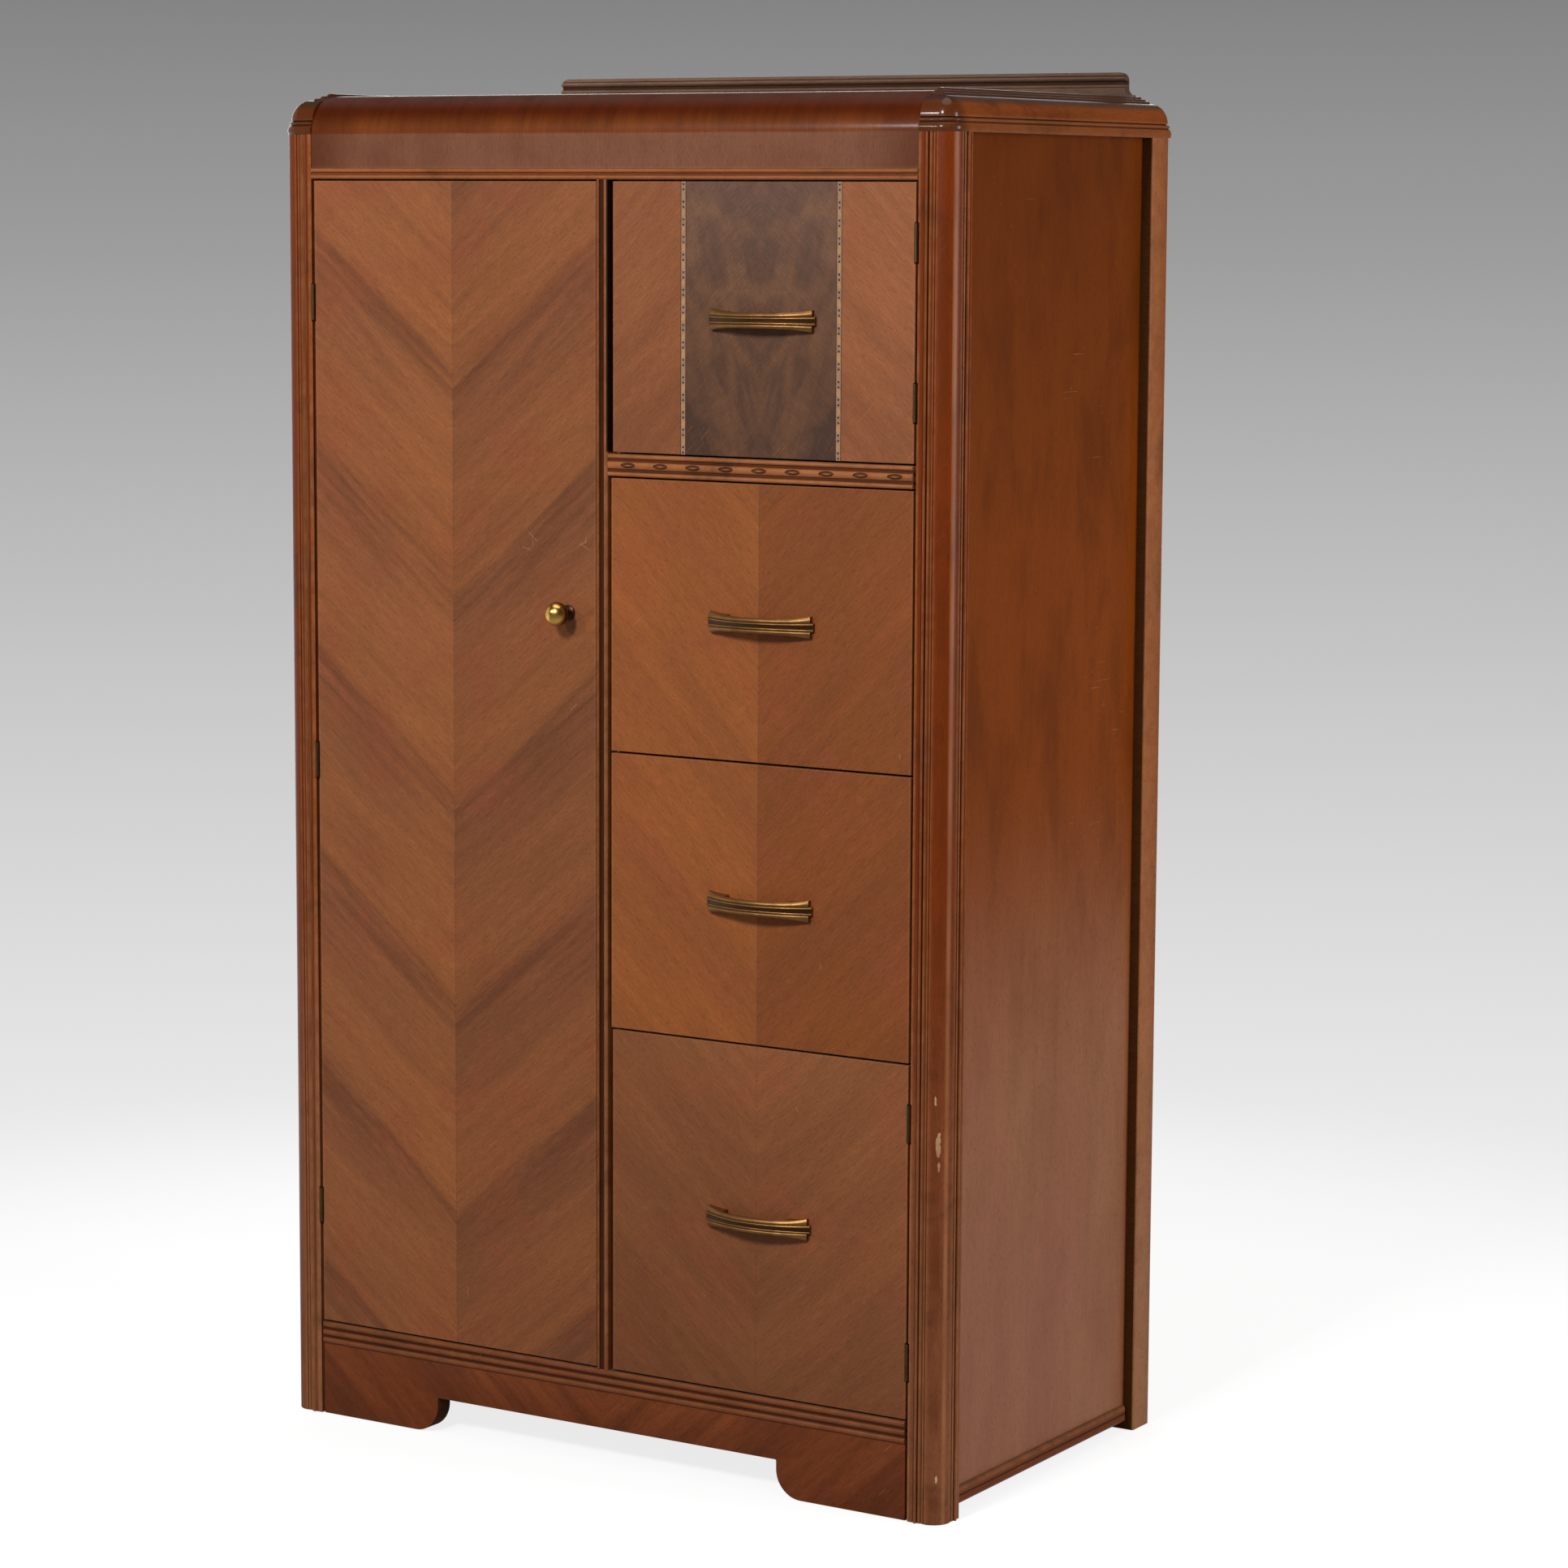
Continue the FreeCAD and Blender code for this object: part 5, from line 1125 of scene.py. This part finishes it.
# ---- Doors and drawer fronts ------------------------------
def panel_rings(node, edge, hinges):
    """Rings of a front board carried up: a plan with eased front corners, drawn in at its
    top and bottom, and notched at the hinges, on the left of the tall door."""
    (x0, y0, z0), (x1, y1, z1) = corners(node)
    band, ease = 0.0036, edge * np.array((0.3, 1.0, 1.5))

    def plan(cut):
        plain = ((0.0, 0.0032), (0.0, edge), (ease[0], ease[0]), (edge, 0.0), (ease[2], 0.0),
                 (band, 0.0))
        notch = ((0.0015, 0.0030), (0.0015, 0.0012), (0.0015, 0.0006), (0.0015, 0.0),
                 (0.0018, 0.0), (band, 0.0))
        hinged = (x1, y0) + np.array(notch if cut else plain) * (-1, 1)
        other = (x0, y0) + np.array(plain[:0:-1])
        return np.vstack(((x1, y1), hinged, other, (x0, y1)))[::-1]

    heights, cuts = notch_steps(z0 + band, z1 - band, hinges)
    whole = plan(False)
    eased = [inset(whole, edge), inset(whole, ease[0]), whole, whole]
    rings = up(eased + [plan(cut) for cut in cuts] + eased[::-1],
               [z0, *(z0 + ease), *heights, *(z1 - ease[::-1]), z1])
    if node == "tall_door":
        rings = [ring * (-1, 1, 1) + (x0 + x1, 0, 0) for ring in rings]
    return rings


class CHIFFOROBE_OT_fronts(bpy.types.Operator):
    """Doors and drawer fronts: eased boards carried up, each with its own veneer"""
    bl_idname = "chifforobe.fronts"
    bl_label = "Doors and drawer fronts"

    def execute(self, context):
        for node, body, finish, hinges in (
                ("tall_door", "tall_door_body", "tall door veneer", TALL_HINGES),
                ("upper_door", "upper_door_body", "inlaid veneer", UPPER_HINGES),
                ("lower_door", "lower_door_body", "cupboard veneer", LOWER_HINGES),
                ("upper_drawer_front", "upper_drawer_body", "drawer veneer", ()),
                ("lower_drawer_front", "lower_drawer_body", "drawer veneer", ())):
            dress("veneered_" + node,
                  panel_rings(node, context.scene.chifforobe_sizes.edge, hinges), finish, node,
                  body=body, slot="figured_veneer")
        return {"FINISHED"}


# ---- Brass ------------------------------
def bow_section(s, sizes, wood_y, front_y):
    """Ring of a bow pull at distance s from its middle. The bow is a circle through the two
    tongues; heights grow from the middle as |s|^4, and the section has a broad bead, a
    quirk and a thin bead on each side of a sunk channel."""
    half = sizes.pull_length / 2
    radius = ((half + PULL_TONGUE) ** 2 + sizes.pull_bow ** 2) / (2 * sizes.pull_bow)
    share = np.clip(abs(s) / half, 0, 1)
    edge = 0.0087 + (sizes.pull_flare - 0.0087) * share ** 4
    strip = 0.0040 + 0.0008 * share ** 2
    channel = strip / 2
    t, u = np.linspace(0, 1, 9), np.linspace(0, 1, 7)[1:]
    v = np.concatenate((edge - (edge - strip) * t, strip - (strip - channel) * u,
                        (channel - 0.0001, channel * 0.5)))
    broad = (-0.0016 * (1 - t) ** 2 - 0.0008 * t ** 6
             + 0.0010 * 4 * t * (1 - t) * (1 - 0.6 * share))
    thin = -0.0008 * (1 - u) + 0.0006 * 4 * u * (1 - u) - 0.0001
    if abs(s) > half:
        v, broad = np.minimum(v, strip), np.minimum(broad, -0.0008)
    w = np.concatenate((broad, thin, (-0.0010, -0.0011)))
    v, w = np.concatenate((v, -v[::-1])), np.concatenate((w, w[::-1]))
    sine, cosine = s / radius, np.sqrt(1 - (s / radius) ** 2)
    front = cols(s + w * sine, front_y + radius - (radius + w) * cosine, v)
    back = (s, wood_y) if abs(s) > half - PULL_FOOT else (
        s - PULL_BAND * sine, front_y + radius - (radius - PULL_BAND) * cosine)
    limit = edge if abs(s) <= half else strip
    return np.vstack((front, cols(*back, (-limit, limit))))


class CHIFFOROBE_OT_pulls(bpy.types.Operator):
    """Bow pulls: a beaded section carried along the bow, flared to its ends"""
    bl_idname = "chifforobe.pulls"
    bl_label = "Bow pulls"

    def execute(self, context):
        sizes = context.scene.chifforobe_sizes
        half = sizes.pull_length / 2
        leg = half - PULL_FOOT
        right = np.concatenate((np.linspace(leg + 1e-5, half, 14),
                                np.linspace(half + 1e-5, half + PULL_TONGUE, 3)))
        stations = np.concatenate((-right[::-1], np.linspace(-leg, leg, 41), right))
        for drawer in ("upper_door", "upper_drawer", "lower_drawer", "lower_door"):
            low, high = corners(drawer + "_pull")
            wood = high[1]
            front = wood - PULL_BAND - sizes.pull_bow
            rings = np.array([bow_section(s, sizes, wood, front) for s in stations])
            rings += ((low + high) / 2) * (1, 0, 1)
            channel = rings.shape[1] // 2 - 1.5
            dress(f"beaded_{drawer}_pull", rings, "aged brass, dark channel",
                  drawer + "_pull", body=drawer + "_body", slot="aged_brass", sharp=40,
                  faces_by=lambda i, j: np.abs(j - channel) < 2.2)
        return {"FINISHED"}


class CHIFFOROBE_OT_knob(bpy.types.Operator):
    """Knob: a flattened ball on a waisted neck and a small foot, turned about its axis"""
    bl_idname = "chifforobe.knob"
    bl_label = "Brass knob"

    def execute(self, context):
        low, high = corners("door_knob")
        x, _, z = (low + high) / 2
        r, flat = context.scene.chifforobe_sizes.knob_radius, 0.013
        ball = high[1] - low[1] - flat
        t = np.radians(np.linspace(0, 158, 30))
        outline = path(cols(r * np.sin(t), ball + flat * np.cos(t)),
                       (0.0048, ball - 0.0128), (0.0046, 0.0075), (0.0050, 0.0045),
                       (0.0070, 0.0026), (0.0090, 0.0017), (0.0092, 0.0010), (0.0092, 0.0))
        # The neck, its foot and the ball's back rim take the dark channel finish as painted shade.
        dress("brass_knob", spun(outline, (x, high[1], z), (0, -1, 0), 56),
              "polished brass, dark channel", "door_knob", body="knob_body",
              slot="aged_brass", faces_by=lambda i, j: i > 26)
        return {"FINISHED"}


class CHIFFOROBE_OT_hanging_rod(bpy.types.Operator):
    """Hanging rod and its two cup sockets, turned about the rod's axis"""
    bl_idname = "chifforobe.hanging_rod"
    bl_label = "Hanging rod"

    def execute(self, context):
        low, high = corners("hanging_rod")
        _, y, z = (low + high) / 2
        r, long, ease = (high[2] - low[2]) / 2, high[0] - low[0], 0.0008
        outline = ((0, 0), (r - ease, 0), (r, ease), (r, long / 2), (r, long - ease),
                   (r - ease, long), (0, long))
        dress("turned_hanging_rod", spun(outline, (low[0], y, z), (1, 0, 0)), "rod wood",
              "hanging_rod", slot="rod_wood")
        low, high = corners("rod_sockets")
        cup = path((0.0132, 0.0), (0.0235, 0.0), (0.024, 0.0005), (0.0236, 0.0022),
                   (0.022, 0.003), (0.0175, 0.0032), (0.0162, 0.0042), (0.0158, 0.0100),
                   arc((0.0143, 0.0106), 0.0014, 0, 180), (0.0129, 0.0002))
        for side, x, way, nodes in (("left", low[0], 1, ["rod_sockets"]),
                                    ("right", high[0], -1, [])):
            dress("rod_socket_" + side, spun(cup, (x, y, z), (way, 0, 0)), "plain steel",
                  *nodes, slot="plain_steel", ends="none")
        return {"FINISHED"}


# ---- Nodes that keep their shape ------------------------------
class CHIFFOROBE_OT_plain_nodes(bpy.types.Operator):
    """Boards, rails, hinges, screws and clips keep their shape and get their finish"""
    bl_idname = "chifforobe.plain_nodes"
    bl_label = "Boards and fittings"

    def execute(self, context):
        finishes = {
            "side veneer": "side_panel_left side_panel_right",
            "inside upright": "centre_partition upper_drawer_sides lower_drawer_sides "
                              "corner_blocks",
            "back ply": "back_panel upper_drawer_back lower_drawer_back",
            "inside wood": "bottom_board cupboard_floor drawer_deck upper_drawer_bottom "
                           "lower_drawer_bottom drawer_runners",
            "rod wood": "rear_rail drawer_rail top_rail",
            "dark bronze": "frame_hinge_leaves hinge_pins tall_door_hinge_leaves "
                           "upper_door_hinge_leaves lower_door_hinge_leaves turn_latch",
            "plain steel": "catch_clips frame_screws tall_door_screws upper_door_fixings "
                           "lower_door_fixings upper_door_strike lower_door_strike "
                           "upper_drawer_pull_bolts lower_drawer_pull_bolts",
        }
        for finish, nodes in finishes.items():
            for node in nodes.split():
                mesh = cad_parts[node].data
                mesh.materials.clear()
                mesh.materials.append(finish_named(finish))
        return {"FINISHED"}


# ---- Stage ------------------------------
def studio_floor():
    """Flat disc of rings of radius r. It shows white to the camera, keeps the object's
    shadow, and fades to clear away from the object."""
    t = np.linspace(0, 2 * np.pi, 96, endpoint=False)
    floor = skin("studio_floor", [cols(r * np.cos(t), r * np.sin(t), -0.0006)
                                  for r in (8.0, 4.0, 2.0, 0.0001)], ends="none")
    material = bpy.data.materials.new("studio floor")
    material.use_nodes = True
    desk = Desk(material.node_tree)
    desk.tree.nodes.remove(desk.tree.nodes["Principled BSDF"])
    rays = desk.named(desk.add("ShaderNodeLightPath"))
    seen = (rays["Is Glossy Ray"] * 0.2).larger(
        rays["Is Camera Ray"].larger(rays["Is Transmission Ray"]))
    lit = desk.out("ShaderNodeAddShader", 0, {
        0: desk.out("ShaderNodeBsdfDiffuse", 0, {"Color": "floor"}),
        1: desk.out("ShaderNodeEmission", 0, {"Strength": seen * 0.81})})
    joined = desk.out("ShaderNodeMixShader", 0, {
        0: desk.vector("LENGTH", desk.place()).ease(0.75, 2.3), 1: lit,
        2: desk.out("ShaderNodeBsdfTransparent", 0)})
    desk.feed(desk.tree.nodes["Material Output"].inputs["Surface"], joined)
    floor.data.materials.append(material)


def studio_world():
    """Even light for the object. The camera and reflections see a gradient from grey above
    to white below; reflections also see white patches overhead, behind and to the left."""
    world = bpy.context.scene.world = bpy.data.worlds.new("studio")
    world.use_nodes = True
    desk = Desk(world.node_tree)
    aside, behind, height = desk.split(desk.out("ShaderNodeTexCoord", "Generated"))
    ramp = desk.add("ShaderNodeValToRGB",
                    {"Fac": height.ease(-0.28, 0.06, kind="LINEAR")})
    greys = ramp.color_ramp.elements
    greys[0].color, greys[1].color = (1, 1, 1, 1), (0.20, 0.20, 0.20, 1)
    for at, grey in ((0.05, 0.98), (0.15, 0.875), (0.44, 0.63), (0.794, 0.333), (0.87, 0.287)):
        greys.new(at).color = (grey, grey, grey, 1)
    rays = desk.named(desk.add("ShaderNodeLightPath"))
    glossy = rays["Is Glossy Ray"]
    seen = rays["Is Camera Ray"].larger(glossy.larger(rays["Is Transmission Ray"]))
    rear = behind.ease(0.3, 0.6) * aside.ease(0.0, -0.3) * height.ease(0.38, 0.2)
    left = aside.ease(-0.62, -0.8) * height.ease(0.7, 0.5, 0.0, 0.5)
    overhead = glossy * height.ease(0.85, 0.93).larger(rear.larger(left))
    gradient = desk.mix(overhead, Signal(desk, ramp.outputs["Color"]), (1.0, 1.0, 1.0))
    back = desk.tree.nodes["Background"].inputs
    desk.feed(back["Color"], desk.mix(seen, (0.36, 0.36, 0.36), gradient))
    desk.feed(back["Strength"], (glossy - overhead) * -0.78 + overhead + 1.0)


def lamp(name, spot, aim, width, height, power):
    light = bpy.data.lights.new(name, "AREA")
    light.shape, light.size, light.size_y, light.energy = "RECTANGLE", width, height, power
    thing = bpy.data.objects.new(name, light)
    thing.location = spot
    thing.visible_camera = False
    thing.rotation_euler = (Vector(aim) - Vector(spot)).to_track_quat("-Z", "Y").to_euler()
    bpy.context.scene.collection.objects.link(thing)


class CHIFFOROBE_OT_stage(bpy.types.Operator):
    """Pale floor, soft studio light and the camera"""
    bl_idname = "chifforobe.stage"
    bl_label = "Stage"

    def execute(self, context):
        studio_floor()
        studio_world()
        lamp("key_light", (0.35, -3.5, 2.9), (0.0, -0.2, 0.85), 0.6, 0.6, 102)
        lamp("left_light", (-1.25, -3.3, 2.5), (0.2, -0.2, 1.2), 0.35, 0.35, 22)
        lamp("side_light", (3.6, 0.7, 1.5), (0.4, 0.0, 0.8), 1.1, 2.0, 62)
        lamp("back_light", (-2.3, 3.6, 1.9), (0.0, 0.2, 1.4), 3.0, 1.2, 40)

        camera = bpy.data.cameras.new("studio_camera")
        camera.sensor_fit, camera.sensor_width, camera.lens = "HORIZONTAL", 36.0, 100.79
        camera.dof.use_dof = False
        thing = bpy.data.objects.new("studio_camera", camera)
        yaw, pitch, roll = 0.55653885, 0.13161436, 0.00500072
        ahead = np.array((-math.sin(yaw), math.cos(yaw), 0.0))
        right = np.array((math.cos(yaw), math.sin(yaw), 0.0))
        above = np.array((0.0, 0.0, 1.0))
        forward = math.cos(pitch) * ahead - math.sin(pitch) * above
        top = math.sin(pitch) * ahead + math.cos(pitch) * above
        matrix = np.eye(4)
        matrix[:3] = np.column_stack((
            math.cos(roll) * right + math.sin(roll) * top,
            -math.sin(roll) * right + math.cos(roll) * top, -forward,
            (2.82695, -4.14645 + FACE_Y, 1.47222)))
        thing.matrix_world = Matrix(matrix.tolist())
        context.scene.collection.objects.link(thing)
        context.scene.camera = thing
        context.scene.view_settings.view_transform = "Standard"
        return {"FINISHED"}


PIECES = (
    CHIFFOROBE_OT_front_posts, CHIFFOROBE_OT_rear_posts, CHIFFOROBE_OT_mouldings,
    CHIFFOROBE_OT_carved_rail, CHIFFOROBE_OT_waterfall_top, CHIFFOROBE_OT_end_caps,
    CHIFFOROBE_OT_gallery, CHIFFOROBE_OT_apron, CHIFFOROBE_OT_fronts, CHIFFOROBE_OT_pulls,
    CHIFFOROBE_OT_knob, CHIFFOROBE_OT_hanging_rod, CHIFFOROBE_OT_plain_nodes,
    CHIFFOROBE_OT_stage,
)


class CHIFFOROBE_PT_panel(bpy.types.Panel):
    """Sizes, colours and pieces of the chifforobe"""
    bl_label = "Chifforobe"
    bl_idname = "CHIFFOROBE_PT_panel"
    bl_space_type = "VIEW_3D"
    bl_region_type = "UI"
    bl_category = "Chifforobe"

    def draw(self, context):
        layout = self.layout
        for title, group in (("Sizes", context.scene.chifforobe_sizes),
                             ("Colours", context.scene.chifforobe_colours)):
            layout.label(text=title)
            column = layout.column(align=True)
            for key in group.__annotations__:
                column.prop(group, key)
        layout.label(text="Pieces")
        for piece in PIECES:
            layout.operator(piece.bl_idname)


CLASSES = (ChifforobeSizes, ChifforobeColours, *PIECES, CHIFFOROBE_PT_panel)


def register():
    for cls in CLASSES:
        bpy.utils.register_class(cls)
    bpy.types.Scene.chifforobe_sizes = bpy.props.PointerProperty(type=ChifforobeSizes)
    bpy.types.Scene.chifforobe_colours = bpy.props.PointerProperty(type=ChifforobeColours)


def unregister():
    del bpy.types.Scene.chifforobe_colours
    del bpy.types.Scene.chifforobe_sizes
    for cls in reversed(CLASSES):
        bpy.utils.unregister_class(cls)


def main():
    register()
    make_groups()
    for piece in PIECES:
        getattr(bpy.ops.chifforobe, piece.bl_idname.split(".")[1])()


if __name__ == "__main__":
    main()
